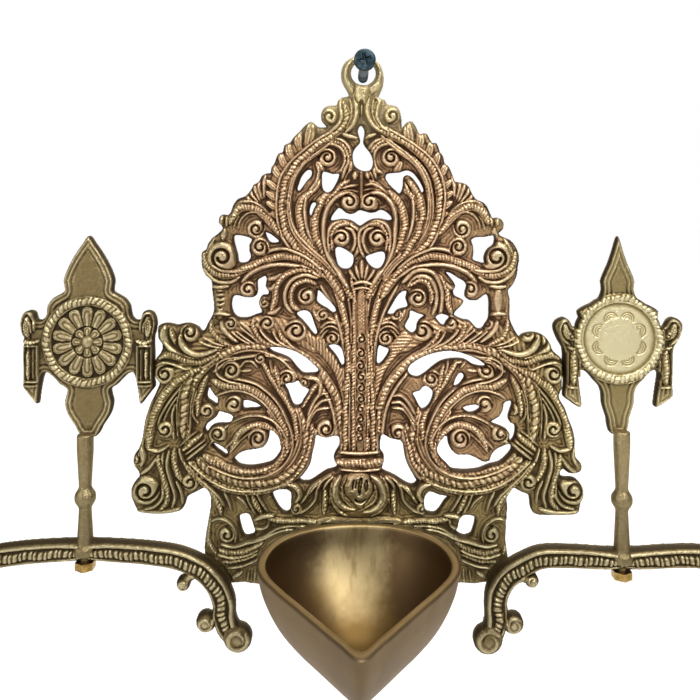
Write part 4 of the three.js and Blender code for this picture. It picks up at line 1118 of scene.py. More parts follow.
CREST = """
ridge 15-13 h1.7: 306,140 297,148 290,157 284,166 279,176 275,188 274,198 275,208 278,217
ridge 15-13 h1.9: 313,122 310,133 308,145
triple 15.6-12.2 h2.7: 311,124 310,134 307,146
triple 12.6-9.45 h2.6: 299,132 298,141 300,150
triple 12-8.78 h2.6: 288,144 289,151 293,159
triple 11.4-8.1 h2.6: 280,154 283,162 287,170
triple 10.8-8.1 h2.6: 272,165 276,172 282,179
triple 9.12-7.43 h2.6: 267,181 273,186 279,191
triple 8.88-7.43 h2.6: 266,192 272,196 279,200 | 267,202 273,206 280,209
triple 7.68-6.75 h2.4: 271,213 276,216 281,219
ridge 6-3 h2.3: 265,175 264,185 264,198
ridge 5-3 h2.3: 258,179 259,189 262,199 | 253,184 256,192 260,201
ridge 5-3 h2.2: 248,188 252,195 258,202 | 243,193 248,198 255,203
ridge 6.4-5.12: 342.5,133.8 351.2,136.5 357.5,138
ridge 5.76-5.12: 322.5,144.5 331.2,143 341.2,147.5 345.5,157.5 342.5,168.8 336.2,173 | 326.2,141.2
 341.2,140.5 350.5,150.5 352.5,161.2 349,171.2
beads 5.04-4.48 p3.18: 327.5,138.8 342.5,145 348.5,157.5 345.5,170
scroll 9.5 190 -1.3 2.66 1.9: 327.5,157.2
twin 10.1-6.72: 317.5,163 321,171.2 318.5,181.2 312,190 306.2,196.5
beads 8.96: 311.2,191.2 303,198.8 299.5,207.5 300,220 303.8,235 314.5,248.8 328.8,263 341.2,278.8
 348.8,297.5
ridge 4.35: 306.2,197.5 304.8,207.5 305.5,220 309.5,235 319.5,248.8 333,263.8 345,280 353,297.5
beads 9.52-8.96: 330,191.2 320.5,202 315,215 314.5,230 319.5,245 330,261.2 341.2,278.8 351.2,297.5
beads 6.4: 349,180.5 341,185.5 332,195.5 325.5,207
ridge 5-4: 348,163 344.5,170.5 342,178.5
ridge 2.2-2 h2.4: 352.5,168 347.5,173.5 344.5,180
one ridge 30 h0.9: 343,200 380,200
one ridge 12: 354.8,173.5 354.8,177.5
one ridge 9 h2.7: 367,173.5 368,177.5
one ridge 3.4-3 h3: 342,188.5 349,186 358,184.8 | 365,185 372,183.8 379,186.5 387,192.5
one ridge 2.2-2 h2.6: 327,203.5 335,195.5 343,190.9 351,189.8 358.5,192 | 363.5,190.4 371,188.6
 379,190.2 387,195.5 395,203
one ridge 1.8-1.6 h2.4: 342.5,203.5 344.5,199.8 349,198.8 352,202.5 | 380.5,203 378,199.4
 373.5,198.4 370.5,202
one ridge 4.4-6.4 h3.35: 345,203.5 347,206.8 352,207.4 356,204 356.8,199 353,194.8 347,193.2
 340,194.8 333,199.8 327.5,207.5 324.3,218 323.3,230 324.5,243 328,255 336.3,268.8 348,287.5 |
 377,203 375.5,206.5 371,207.6 367,204.5 366,200 369,195 375,192.6 382,194 388.5,199.5 393.5,207.5
 395.5,218 395.1,230 393.9,243 390.4,255 382.1,268.8 370.4,287.5
one ridge 9 h3.3: 347,203 349,202.6 | 373.2,202.4 375.2,203
one ridge 3-2.6 h3: 361.3,171.5 361.3,207.5
scroll 8.5 135 -0.95 2.38 1.7 h3.3: 349.5,201.5
ridge 4.1: 337.5,135 320.5,150.5 304.2,163 295.5,175.5 291,190 289.5,205 291.5,221.2 297.5,233.8
 308.8,246.2 323.8,260 336.2,275
twin 5.6: 333.8,138.5 317.5,150.5 302.5,161.5 293,174 288,190 286.5,207.5 288.5,223.8 294.5,237
 306.2,250 322,263 335,278.8
one beads 8.4-9.52 h3.15 p4.03: 343,101.5 345.8,109.5 346.5,117.5 342.5,126.2 333,134.5
 320.5,142.5 308.8,151.5 297.5,162 289.5,173 284.5,185 282,197.5 281.5,210 283,222.5 287.5,235
 297,248.8 311.2,261 326.2,273.8 337,287 343,300 | 378,101.5 375,109.5 374.5,117.5 378.8,126.2
 390,134 405,141.5 416.2,150 427.5,161.2 434.5,172.5 438.5,185 440,197.5 439,212.5 435,227.5
 428.5,240.5 416.2,255.5 401.2,270.5 388.8,285 381.2,297.5
one ridge 3.84: 337.5,128 317.5,139.5 303,150.5 290,162.5 281,176.2 277.5,190 276.5,205 277.5,220
 281.5,235 291.5,250 306.2,264 | 383.8,126.2 400,135.5 415,145 430,157.5 439.5,171.2 444,185
 445,200 443,215 439,230 431.5,245 418.8,258.8
ridge 5.12: 343,96.5 339,100 340.5,107.5 341.5,117.5 337,126 329.5,131.5
one scroll 8.6 -70 -0.95 2.41 1.72: 329.2,116.5
one scroll 8.6 -110 0.95 2.41 1.72: 392.2,115.5
one ridge 3.84: 404,150.5 415,161.5 423,173 428,185.5 430,198.8
one beads 8.96 h3.05: 408,180 415,188 420,200 422,213.8 419.5,227.5 413,242 402,257.5
one ridge 10 h3.4: 362.5,58.5 353,61.5 346.5,69 345.5,78 350,86.5 358,91 367,91 375,86.5 379.5,78
 378.5,69 372,61.5 362.5,58.5
one ridge 9-5 h3.4: 355,92 356.5,104 356.5,114 352.5,125 345.5,132
one ridge 8-5 h3.4: 368.5,92 367.5,104 367.5,114 372,124 381,132
one ridge 25-20 h3.4: 361.5,83 361.5,103
one ridge 6-4.6 h0.6: 361.5,101 361.5,121
one ridge 3-2.4 h2.2: 361.5,103 361.5,116
one ridge 3.4-3 h2.4: 349,97 351.5,107 351,118 346,128 | 374,97 372.5,107 373.5,118 380,128
"""

HEART = """
ridge 5.63-5.12: 360,224.4 350,219.6 337,220.8 330,228 328.4,240 329.2,252
beads 5.6-4.48 p3.18: 356.4,226.4 349,223.6 339,224.8 333.2,231 331.6,240 332.4,250
scroll 9 190 -0.95 2.52 1.8 h3.2: 341.4,237.6
ridge 4.35: 345.2,227.2 352.4,230.4 355.2,240 352.4,250 348,255.6 | 350,224.4 358,230 359.6,240
 357.6,250 354.4,256.8
one ridge 6.4-3.84 h3.25: 361.6,260.4 361.8,268 362,278.4
one ridge 5.63-3.84: 355.6,265.6 357.6,273 359.6,279.2 | 367.6,265.6 366,273 364.4,279.2 |
 349.2,270 353,276 356.8,280.4 | 374.4,270 370.6,276 367.2,280.4
one ridge 4.35 h3.45: 351.2,284.4 357,282.4 362,281.6 367.2,282.4 372.8,284.4
one ridge 3.84: 352.4,289.6 357.6,288 362,287.2 366.8,288 371.6,289.6
"""

SHOULDER = """
ridge 21-19 h1.2: 221,282 220,300 220,317
ridge 13-12 h2.2: 220,289 220,300 220,311
one ridge 2.4 h1: 216,292.5 224,292.5 | 216,297 224,297 | 216,302 224,302 | 216,307 224,307
ridge 5: 212,286 220,287 229,286
ridge 4.4: 212,314 220,313.5 230,315
ridge 3.4: 235,206 241,202 250,201.5 259,205 266,211 271,219
beads 9.5-8 h2.7 p3.3: 230,223 234,214 240,208 249,206.5 257,209.5 264,215 272,224 279,234
ridge 2.6 h2.2: 238,230 240,221 246,214 255,212 265,217 271,224
ridge 2.2 h1.6: 233,231 235,223 239,216
scroll 9.5 45 -1.3 2.66 1.9 h2.6: 256,229
ridge 7.6-6 h2.6: 221,214.5 221,225
ridge 4.4-4 h2.3: 226.5,216 226.5,226
ridge 11-9 h2.3: 224,230 223,239
ridge 4-8 h2.3: 214,238 209,248 205,258
beads 8.5-8 h2.7 p3.1: 203,253 205,262 211,270 222,275 233,274 245,268.5 258,263 272,258 286,256
 299,259 313,266 325,277
ridge 4.6 h2.6: 203,268 209,276 220,282 232,281.5 240,277
ridge 5.6-4.4 h3.1: 242,282 250,273.5 262,267.5 276,264.5 292,265 306,268 320,277
ridge 4.6-4 h2.9: 256,254.5 264,253.5 272,250 284,248.5 296,252 309,259 321,269
scroll 9.6 -50 1.3 2.69 1.92 h2.8: 260,246.5
scroll 15.6 -62 -1.3 4.37 3.12 h3.2: 222,257
ridge 5-4 h2.5: 244,270 232,271.5 220,270 212,265
scroll 8.6 -30 0.95 2.41 1.72 h2.7: 248,289
ridge 5 h2: 256,282 256.5,291
one beads 6.72 p4.03: 311.2,271.2 296,270.4 282.4,277.2 276,288 274.8,300 270.8,310.4
one ridge 5.12: 318,278 304.4,274.8 291.6,280 285.2,291.2 286,304 292.4,312.8
one beads 5.6 h3.05 p3.18: 316.4,284 306.4,280.4 296,284 290.8,294 292.4,304.4 301.2,312
one scroll 8.8 60 0.95 2.46 1.76 h3.3: 306,296
one scroll 5.6 0 0.95 1.57 1.12: 264,302.4
one ridge 6.4-5.12: 267.2,278.8 274,278 280.4,274 | 266.8,288 270.8,289 274.8,284 | 267.6,312.8
 274,312 280.4,307.2
one beads 6.72 p4.03: 434,273.2 442.4,281.2 447.2,293.2 448.4,305.2 451.6,313.6
one ridge 6.4-5.12: 402.4,282.4 416.4,270.4 432.4,272.4 441.2,288 441.6,304 439.6,316 | 407.6,286
 418,276.4 429.6,278.4 436,290.4 436,304.4 432.4,314.4
one beads 5.6 h3.05 p3.18: 410,285.6 418.4,280.4 427.2,283.2 431.6,293.2 430.8,304
one scroll 9.4 170 -1.3 2.63 1.88 h3.3: 417.6,297.6
one ridge 6.4-5.12: 454.8,288 450,287.2 446,282.8
"""

FANS = """
beads 4.6-4 h2.6 p3: 313,309 316,316 320,322
scroll 6 20 0.95 1.7 1.2: 322.5,314.5
beads 4.8-4 h2.5 p3: 328,317.5 336,321 343,327 347,336
ridge 3-2.8: 320,328 327,322.5 334,322.5 341,328.5 345,338
ridge 2.8-2.6 h2.7: 319.5,334 325,327.5 332,326 338,329.5 341.5,336
ridge 2.8-2.4 h2.7: 321,339 324,333 328,330
scroll 7.4 160 -1.1 2.1 1.6 h3.2: 333,338
"""

WINGS = """
rope 16-9 h2.55 p4.8: 299,327.5 314,339 327,352.5 337,366.5 342.5,381.5 345,400
ridge 3.4-3 h2.4: 213,317 220,315.5 227,315
beads 6.5-5.5 h2.6: 210.5,321 211.5,329 216,337 223,342 231,345.5
ridge 8-4: 221,321 223,328 230,336 238,342
ridge 3-2.6 h2.5: 231,331 240,338.5 250,344 | 236,331 246,338.5 256,345
ridge 3-2.6 h2.6: 240,327 250,335 259,342 268,346
scroll 6.6 150 -0.95 1.9 1.4: 231,323.5
ridge 5-3.4 h2.7: 240,321.5 248,328 256,336.5 264,343
beads 6-5 h2.7: 253,317.5 253.5,327 257,335 263,341 270,345
ridge 4-3 h2.7: 260,330 266,337 275,343.5 286,348
scroll 7.6 200 -0.95 2.2 1.6: 267.5,322.5
beads 5.4-5 h2.6 p3.2: 279,330 281.5,337 287,342.5 293,347
ridge 3.2-3 h2.7: 273,332 278,340 286,346 294,350
scroll 11.5 180 -1.25 3.2 2.4 h3.2: 296.5,330.5
ridge 3.2-2.8 h2.7: 286.5,340 291,345.5 298,350
"""

OUTER = """
ridge 12-9 h2.3: 164,327 163,337 169,347
ridge 7-5: 164,342 172,350 184,357.5 198,358 210,355 220,350
beads 6-5 p3: 170,329 172.5,336 175,344
ridge 9-5 h3.1: 180,336 182,344 188,351 197,354.5 207,353 218,349
ridge 3 h2.6: 199,341 209,345.5 222,348
ridge 3 h2.5: 203,337 214,343 226,346
scroll 10.4 -115 -1.3 2.91 2.08: 190,332
beads 8-7 h2.7 p3: 158,358 167,355 177,357 187,361 198,362 209,359 219,352
ridge 3.4-3: 156,366 163,362.5 174,364.5 186,369 197,369 207,365 216,358
scroll 10.6 45 1.3 2.97 2.12 h2.9: 164.5,374
beads 10-9 h2.6 p3.2: 200,369 186,376 172,386 163,397 156,410 151,424 149,438 148,449
ridge 5.4-6 h2.4: 152,396 147,412 143.5,428 141,443 139,456
ridge 9-7 h2.4: 139,446 143,457 141,466
scroll 5.4 80 -0.95 1.51 1.08 h2.5: 136,461
ridge 3.4-3 h2.9: 194,373 183,385 172,398 163.5,411 159,421 158,431
ridge 2.8-2.6 h2.6: 184,389 174,401 167,413 163,423
ridge 4-3.4 h2.2: 175,404 172,416 173,430 174,441
scroll 8.6 175 0.95 2.41 1.72 h2.9: 165,429.5
beads 12-10.5 h3 p6.8: 191,378 186,393 184,408 183.5,422 184,437
ridge 2.6 h2.7: 181,388 177.5,402 177,418 178,437 | 195,388 191.5,402 190.5,418 190,431
beads 7-6 p3: 207,376 201.5,388 198,402 197.5,416
ridge 2.4 h2.6: 197,390 193.5,404 193.5,416 199,424
scroll 7.6 -160 0.95 2.13 1.52 h2.8: 207,411
beads 7.5-6.5 h3 p3: 183,450 192,442 202,434
ridge 3 h3: 185,454.5 195,447 205,439.5
ridge 4.4-4 h3.1: 187,459 197,451 206,444
ridge 2.6: 180,446 188,438 197,431
ridge 5-4 h2.4: 148,449 158,451 168,446
ridge 6-4 h2.3: 141,474 150,467 156,458
ridge 4.4-4 h2.7: 163,453 162,468 163,484 162,498 155,506 144,509
beads 6.6-6: 158,455 160,468 164,481 167,492 166,503 159,510
ridge 5-4 h2.7: 169,451 167,465 171,482 175,496 172,508
ridge 4-3 h2.5: 176,481 181,492 182,504
ridge 6 h2.4: 136,512 150,513 165,512.5 179,509
beads 7-6: 174,449 174,462 177,473 182,481
ridge 3.4-3 h2.6: 179,449 183,461 190,471 200,482
scroll 8.8 190 0.95 2.46 1.76 h2.8: 190,482.5
scroll 15 15 -1.3 4.2 3 h3.2: 145,490.5
"""

VOLUTE = """
beads 9.5 h2.9 p6: 197,459 207,468 221,476 239,482 258,484 276,480 291,472 301,461 307,447 306,433
 301,420 298,408
ridge 3 h3: 188,461 199,471 212,481 227,488 246,491 264,489.5 282,485 292,481
beads 8.4-7.4 h2.9 p4: 203,455 214,462 228,468 243,471.5 258,470.5 270,466 279,457 283.5,446
 282,433 277,422 268,411
ridge 3.2 h2.9: 208,465 224,472.5 242,477.5 260,477 276,471 287,461 292.5,448 292,434 287,420
 280,406 270,394 258,385 244,380 228,378
beads 7-6 p3: 296,440 296,424 291,408 282,394 273,381 267,370 262,362
ridge 3: 301,436 300,420 294,404 286,392 278,382 272,370 270,360
beads 8.4-8 p3.2: 212,380 224,386 240,387 254,391 265,399 274,409 281,421 286,434 287,448
ridge 3.4-3 h2.5: 212,399 220,394 234,390.5 248,393 260,400 270,410 278,422
ridge 3.4-2.6 h2.7: 243,384 228,381 217,374 217,365 225,359 238,357
ridge 3 h2.6: 240,368 245,361.5 252,361.5 258,368
ridge 5-4 h2.5: 242,371 252,370
scroll 9.6 -150 -1.3 2.69 1.92 h2.9: 231.5,370
scroll 5.8 0 0.95 1.62 1.16 h2.9: 260,358
ridge 4-3 h2.2: 232,354 248,350 264,352 280,359 290,368 298,378
scroll 9.4 205 -1.3 2.63 1.88 h2.8: 287,378.5
beads 6-5 h2.6 p3: 275,366 277,376 280,388
scroll 9 200 -0.95 2.52 1.8 h2.8: 234,404
ridge 3 h2.9: 209,446 220,432 234,421 250,415.5 266,417 279,426 288,441
beads 7-6.4 p3.1: 231,450 239,434 250,426.5 262,425 273,431 279,442 279,455
ridge 3-2.4 h2.6: 224,450 235,438 246,428
ridge 2.6-2.2 h2.5: 229,454 240,441 249,433
scroll 9.4 -50 -1.3 2.63 1.88 h2.8: 217.5,434
scroll 10.4 -130 -1.3 2.91 2.08 h3: 258,438
"""

SPRAY = """
one ridge 4.61-3.84: 306.5,430 310.5,417.5 317.5,409.5 330,407.5 | 307,422.5 313,410 321.5,401
 331,399 | 308,415 314,401.5 320.5,394 328,393
one beads 6.72-5.6 p3.82: 302,407.5 305,400 312.5,390 319.5,381.5
one ridge 6.4-5.12: 304,378 314,378 320.5,384 319,395
one scroll 5 120 -0.95 1.4 1: 305,383
one scroll 9.6 60 -1.3 2.69 1.92 h3.2: 326,429
one ridge 4.61-3.84: 415,430 410.5,417.5 402.5,409 392,407.5 | 415,422.5 408,410 400,402
 391.5,402.5 | 415,414 406.5,400 400,395 393,396
one scroll 9.6 140 1.3 2.69 1.92 h3.2: 398,433
beads 7.84 h2.95 p4.03: 314,430 310.5,445 305,462.5 295,475
ridge 5.12: 316,430 314,445 308.5,465 298,479.5
"""

FOOT = """
ridge 4-3: 331,475 319,482 309,493 301,503
ridge 3.6-3 h2.6: 323,479 312,486 306,497
beads 5.8-5.4 h2.6 p3.6: 325,490 325,502 324,514
ridge 6.4-5: 288,484 296,487 300,495 295,503
scroll 6.2 90 0.95 1.74 1.24 h2.7: 296,509
ridge 4-3 h2.4: 224,492 229,502 232,512
beads 6.8-6 h2.7 p3.6: 184,463 193,474 204,484 213,494 219,505 221,515
ridge 3 h2.6: 189,466 199,478 210,488 219,497 225,507
ridge 3.2-3 h2.6: 208,522 221,518.5 231,524 236,533 235,543
scroll 8.4 100 -0.95 2.35 1.68 h2.7: 227,535
beads 6-5 h2.5 p3: 209,512 208,528 209,543 216,554
ridge 3.8-3 h2.9: 218,554 231,557.5 246,555 258,550
beads 5-4 h2.5 p3.2: 222,562 240,560.5 257,554
ridge 3.4-3 h2.5: 228,568 242,566 257,560
ridge 7-5 h2.6: 233,577 242,572
ridge 3-2.6 h2.3: 249,570 247,582 | 255,570 254,583
beads 7-6 h2.6: 252,496 256,505 261,513
ridge 3-2.6 h2.6: 246,494 250,504 256,515 | 257,494 262,503 268,512
ridge 3-2.4 h2.4: 236,496 243,501 249,510
ridge 3.6-3: 331,474.5 322.5,480.5 317.5,489 315,500 308,508 300,513
ridge 4.4-3.6: 333,476.5 326.5,483 323.5,489.5
ridge 2.6-2.4 h2.6: 338,476.5 332.8,484 330.3,493 329.5,504
one scroll 25 90 0 3 3 h2.7: 359,495.5
ridge 5.5-5 h2.3: 335,478 332,488 332.5,500 338,510 347,516
one ridge 8.5-7.5 h3.2: 340,476 335.8,485 335.6,495 339.5,503 346.5,507.8 355,509
one ridge 3.2-2.8 h2.9: 346,477.5 342.2,488 343.5,497.5 348.5,504 353,506.8
one ridge 9.5-7.5 h3.2: 371,475.5 378.5,482 382.5,491 382.5,499 378.5,506 371,510.5 364,511.5
one ridge 3.2-2.8 h2.9: 371.5,478 375.2,487 376.3,495 374,501 368,505.5 363.5,508
one ridge 66-22 h3.6: 358.5,482 358.8,492 359.5,504.5
one ridge 1.8 h2: 354,478.5 351.8,489
one ridge 1.4 h2.3: 357,478.5 355.3,487
one ridge 3.6 h2: 361,477 359.5,486 359.3,493.5
one ridge 1.5 h2.9: 361,480 360,486 359.6,490.5
one ridge 4.4 h2: 366,480 366.2,490
one ridge 1.8 h2.6: 366,482 366.2,488.5
one ridge 2.3 h1.6: 354.8,497.5 357,500 361,500.3 366,498.3
ridge 6-5 h2.6: 254,520 263,516.5 274,515.5
ridge 4-3: 254,528 262,528.5 268,525 269,519
beads 6-5 h2.4 p3: 270,519.5 284,521.5 300,521 318,522.5
ridge 3-2.6 h2.6: 255,540 266,535 277,528.5 290,526 305,526
beads 7-5.5 h2.5 p3: 219,550 234,553 250,549.5 263,542
ridge 4.4-3 h2.9: 221,544 232,546.5 248,542.5 263,538.5 274,533.3 284,529.8 294,529
one ridge 11 h1.3: 318,522 360,522.5 400,522
one ridge 4.35: 338.7,452 360,453.3 381.3,451.7
one beads 10.1 h3.45 p3.82: 336,462 360,463.3 384,461.7
one ridge 3.84 h3.25: 339.3,468.7 360,470.3 381.3,468.3
"""

TRUNK = """
ridge 3.84: 341,450 342.5,425 344,395 344.5,365 342.5,340 337.5,320 329,300 320.5,285
beads 7.17 h2.85 p3.71: 345,450 345.5,415 346.8,390 348,365 347.5,340 345,320 340.5,302.5
 334.5,285 327.5,270
ridge 2.4: 349.5,450 350,390 351.2,352.5 351,320 348,297.5 343,277.5
one beads 5 h2.85: 353,450 353,420 353,390 353.5,352.5 354.5,320 354,295 351,277.5 | 366.5,450
 367.5,420 368.5,390 368.5,352.5 366,320 364.4,295 367.4,277.5
one ridge 13-12.5 h2: 361.2,290 361.2,340 361,380 360.3,420 360,452
one ridge 1.8 h2.7: 355.8,300 355.6,340 355.5,380 355,420 355,451 | 366.8,300 366.9,340 366.5,380
 365.4,420 364.8,451
one scroll 5.2 90 -1 1.8 1.5 h3.5: 361.4,338.9 | 361.1,353.3 | 360.9,365.6
one scroll 5.1 90 1 1.8 1.5 h3.5: 361.1,376.7
one scroll 5.1 90 -1 1.8 1.5 h3.5: 361.2,387.8
one scroll 5 90 -1 1.8 1.5 h3.5: 361,398.7
one scroll 4.8 90 1 1.8 1.5 h3.5: 360.7,408.6
one scroll 4.7 90 -1 1.7 1.4 h3.5: 360.3,418.9
one scroll 4.6 90 -1 1.7 1.4 h3.5: 360.1,428.4 | 360,437.8
one seeds 6-4: 361.8,328.8 361.8,310 362,285
"""

LEFT_RIBBON = """
ridge 3: 140,331 141,320 146,313 152,314 154,324 152,336
seeds 7 p2.6: 147,318 148,327 147,336
ridge 2.4: 143,333 144,324 149,318
beads 5 p3: 136,341 143,343 152,341
ridge 2.6: 137,346 151,346 | 151,346 151,382 | 151,382 137,382 | 137,382 137,346
ridge 2: 141,350 141,379
beads 4.4 p2.6: 146,350 146,379
ridge 2.6: 137,386 151,386
rope 5 p3: 113,294 121,297 127,303 130,312
"""

RIGHT_RIBBON = """
ridge 3: 570,345 562,338 560,328 564,321 571,322 575,330
seeds 7 p2.6: 565,325 566,331 568,338
scroll 4 90 -1.2 2 1.4: 572,336.5
beads 4 p3: 568,347 574,349 580,347
ridge 2.4: 568,351 568,384 | 580,351 580,384
beads 8 p4: 574,351 574,384
ridge 2.6: 567,387 580,388
rope 6: 583,314 590,308 598,303
"""

CARVING = (VINE, VOLUTE, SPRAY, OUTER, WINGS, FANS, TRUNK, CREST, SHOULDER, HEART, FOOT)


def read_marks(table: str) -> list[Stroke | Scroll]:
    """Strokes and scrolls from a table of the drawing.

    A row holds a band's name, after the word one where the mark has no twin, then its width
    or its two widths, its height after h and its pitch after p where they are not the usual
    ones, and its points. A scroll's row holds its radius, start, turns, ridge and eye, and
    then its middle. A bar parts the points of like marks. A line that starts with a space
    goes on with the row above it.

    Args:
        table: The table's text.

    Returns:
        The marks, in the order in which they are carved.
    """
    marks: list[Stroke | Scroll] = []
    for row in table.replace("\n ", " ").strip().splitlines():
        head, tail = row.split(": ")
        words = head.split()
        both = words[0] != "one"
        kind, *values = words if both else words[1:]
        extra = {v[0]: float(v[1:]) for v in values if v[0] in "hp"}
        sizes = [v for v in values if v[0] not in "hp"]
        for drawn in tail.split(" | "):
            points = [float(v) for v in drawn.replace(",", " ").split()]
            if kind == "scroll":
                height = extra.get("h", SCROLL_HEIGHT)
                marks.append(Scroll((points[0], points[1]), *map(float, sizes), height, both))
            else:
                widths = [float(v) for v in sizes[0].split("-")]
                marks.append(Stroke(
                    Band[kind.upper()], line(*points), widths[0], widths[-1],
                    extra.get("h", STROKE_HEIGHT), extra.get("p", STROKE_PITCH), both))
    return marks


def studio_camera() -> None:
    """Places the camera where the photograph was taken from."""
    data = bpy.data.cameras.new("camera")
    data.sensor_width = 36.0
    data.lens = data.sensor_width * FOCAL_LENGTH / PICTURE_WIDTH
    data.shift_y = -0.214
    data.clip_start = 0.01
    data.clip_end = 20.0
    camera = bpy.data.objects.new("camera", data)
    camera.location = (-0.0057, -0.309, -0.0539)
    camera.rotation_euler = (math.pi / 2, 0, 0)
    bpy.context.scene.collection.objects.link(camera)
    bpy.context.scene.camera = camera


def from_bars(area: Field, bars: Sequence[tuple[Array, float, float]],
              discs: Sequence[Point3]) -> None:
    """Sets an area's outline from bars and round ends.

    Args:
        area: The area.
        bars: Line in millimetres, and half widths at its start and end.
        discs: Middle x and z and radius, in millimetres.
    """
    inside = np.full(area.gx.shape, OUTSIDE)
    for points, first, last in bars:
        samples = smooth_line(points, 0.6)
        s, d, near, length = area.along(samples, max(first, last) + 2.0)
        half = first + (last - first) * s / length
        inside = np.where(near, np.maximum(inside, half - np.abs(d)), inside)
    for x, z, radius in discs:
        inside = np.maximum(inside, radius - np.hypot(area.gx - x, area.gz - z))
    area.inside = inside


def ring_mesh(name: str, points: Array, count: int, sharp: float) -> bpy.types.Object:
    """A piece whose rings of points are joined each to the next.

    Args:
        name: The object's name.
        points: The rings' points in turn, in millimetres.
        count: The points in one ring.
        sharp: Edges that turn by more than this many degrees stay sharp.

    Returns:
        The new object.
    """
    i, j = np.meshgrid(np.arange(len(points) // count - 1), np.arange(count), indexing="ij")
    a, b = i * count + j, i * count + (j + 1) % count
    faces = np.stack([a, b, b + count, a + count], axis=2).reshape(-1, 4)
    return mesh_object(name, points * MM, faces, sharp)


def turned_mesh(name: str, profile: Array, x: float, depth: float | None,
                sides: int) -> bpy.types.Object:
    """A round piece from a profile.

    Args:
        name: The object's name.
        profile: Radius, and depth from the wall or height, of each point, in millimetres.
        x: x of its axis.
        depth: The depth of an upright axis, or None for an axis square to the wall at z = 0.
        sides: How many sides it has.

    Returns:
        The new object.
    """
    angle = np.linspace(0, 2 * math.pi, sides, endpoint=False)
    radius, run = profile[:, 0:1], profile[:, 1:2]
    across, up = radius * np.cos(angle), radius * np.sin(angle)
    level = np.repeat(run, sides, axis=1)
    places = (-level, up) if depth is None else (-depth - up, level)
    points = np.stack([x + across, *places], axis=2)
    made = ring_mesh(name, points.reshape(-1, 3), sides, 40.0)
    close_ends(made)
    return made


def close_ends(piece: bpy.types.Object) -> None:
    """Merges points that fall together, as at a turned piece's poles, and turns faces outward."""
    bm = bmesh.new()
    bm.from_mesh(piece.data)
    bmesh.ops.remove_doubles(bm, verts=bm.verts, dist=1e-6)
    bmesh.ops.recalc_face_normals(bm, faces=bm.faces)
    bm.to_mesh(piece.data)
    bm.free()


def rounded_profile(corners: Sequence[Point], radius: float, steps: int = 4) -> Array:
    """A profile with its corners rounded.

    Args:
        corners: Its points.
        radius: The radius of the rounding.
        steps: Points along each rounding.

    Returns:
        The finer profile.
    """
    points = [np.array(c, float) for c in corners]
    out = [points[0]]
    for before, here, after in zip(points, points[1:], points[2:]):
        first, second = before - here, after - here
        a, b = np.linalg.norm(first), np.linalg.norm(second)
        cut = min(radius, 0.45 * a, 0.45 * b)
        start, end = here + first / a * cut, here + second / b * cut
        for t in np.linspace(0, 1, steps + 1):
            out.append((1 - t) ** 2 * start + 2 * t * (1 - t) * here + t**2 * end)
    out.append(points[-1])
    return np.array(out)


def dress(piece: bpy.types.Object, material: bpy.types.Material, body: str,
          node: str) -> None:
    """Gives a piece its material, body and slot, and hides the CAD node that it stands for.

    Args:
        piece: The piece.
        material: Its material.
        body: The body that it rides on.
        node: The CAD node that it replaces.
    """
    piece.data.materials.clear()
    piece.data.materials.append(material)
    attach(piece, body)
    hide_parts(node)
    log.info("%s: %d faces, on %s", piece.name, len(piece.data.polygons), body)


def box_mm(node: str) -> tuple[Array, Array]:
    """A CAD node's lowest and highest corners, in millimetres."""
    low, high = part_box(node)
    return np.array(low) * 1000, np.array(high) * 1000


@dataclass
class TreePanel:
    """The pierced panel with its ring, tree, volutes and lotus bud, in millimetres.

    The arms and the bowl's lug lie on flat seats, which are `seat_gap` below the plate.
    """

    material: bpy.types.Material
    limit: float = 11.2
    fill_pitch: float = 1.5
    seat_gap: float = 0.05
    arm_seat: float = 5.2
    lug_middle: float = -2.7
    lug_half_width: float = 14.5
    lug_low: float = -202.3
    lug_high: float = -183.4

    def build(self) -> None:
        """Carves, casts and dresses the panel."""
        area = Field("back_panel", GRID_STEP, (MIDDLE - DRAWING_AXIS[0]) * DRAWING_UNIT)
        area.outline_from_loops(smooth_loops("back_panel", GRID_STEP))
        area.carve_table(*CARVING)
        area.fill_between(self.fill_pitch, 0.4, 0.8)
        area.height += 0.09 * uneven(area, 1.2, 5) + 0.12 * uneven(area, 3.0, 6)
        area.soften()
        casting = Casting("tree_panel", area, PLATE_FRONT, PLATE_BACK, limit=self.limit,
                          cut=self._seats(area))
        dress(casting.build(), self.material, "lamp", "back_panel")

    def _seats(self, area: Field) -> Array:
        """The depth that the arms and the bowl's lug leave for the carving."""
        cut, seat = np.full(area.gx.shape, NO_LIMIT), PLATE_FRONT - self.seat_gap
        for points in (LEFT_ARM, RIGHT_ARM):
            near = area.along(smooth_line(points, 0.8), self.arm_seat)[2]
            cut = np.where(near, seat, cut)
        lug = np.abs(area.gx - self.lug_middle) < self.lug_half_width
        lug &= (area.gz > self.lug_low) & (area.gz < self.lug_high)
        return np.where(lug, seat, cut)


LEFT_ARM = line(87, 547.2, 108, 548, 150, 551, 180, 556, 202, 566, 217, 581, 224.5, 598,
                225, 612.5, 229, 625, 237.5, 634)
RIGHT_ARM = line(620, 556.5, 602, 556, 566, 554.2, 540, 555, 525, 561, 507, 572, 497, 586,
                 495, 600, 495.5, 615, 492.5, 627.5, 487, 636)


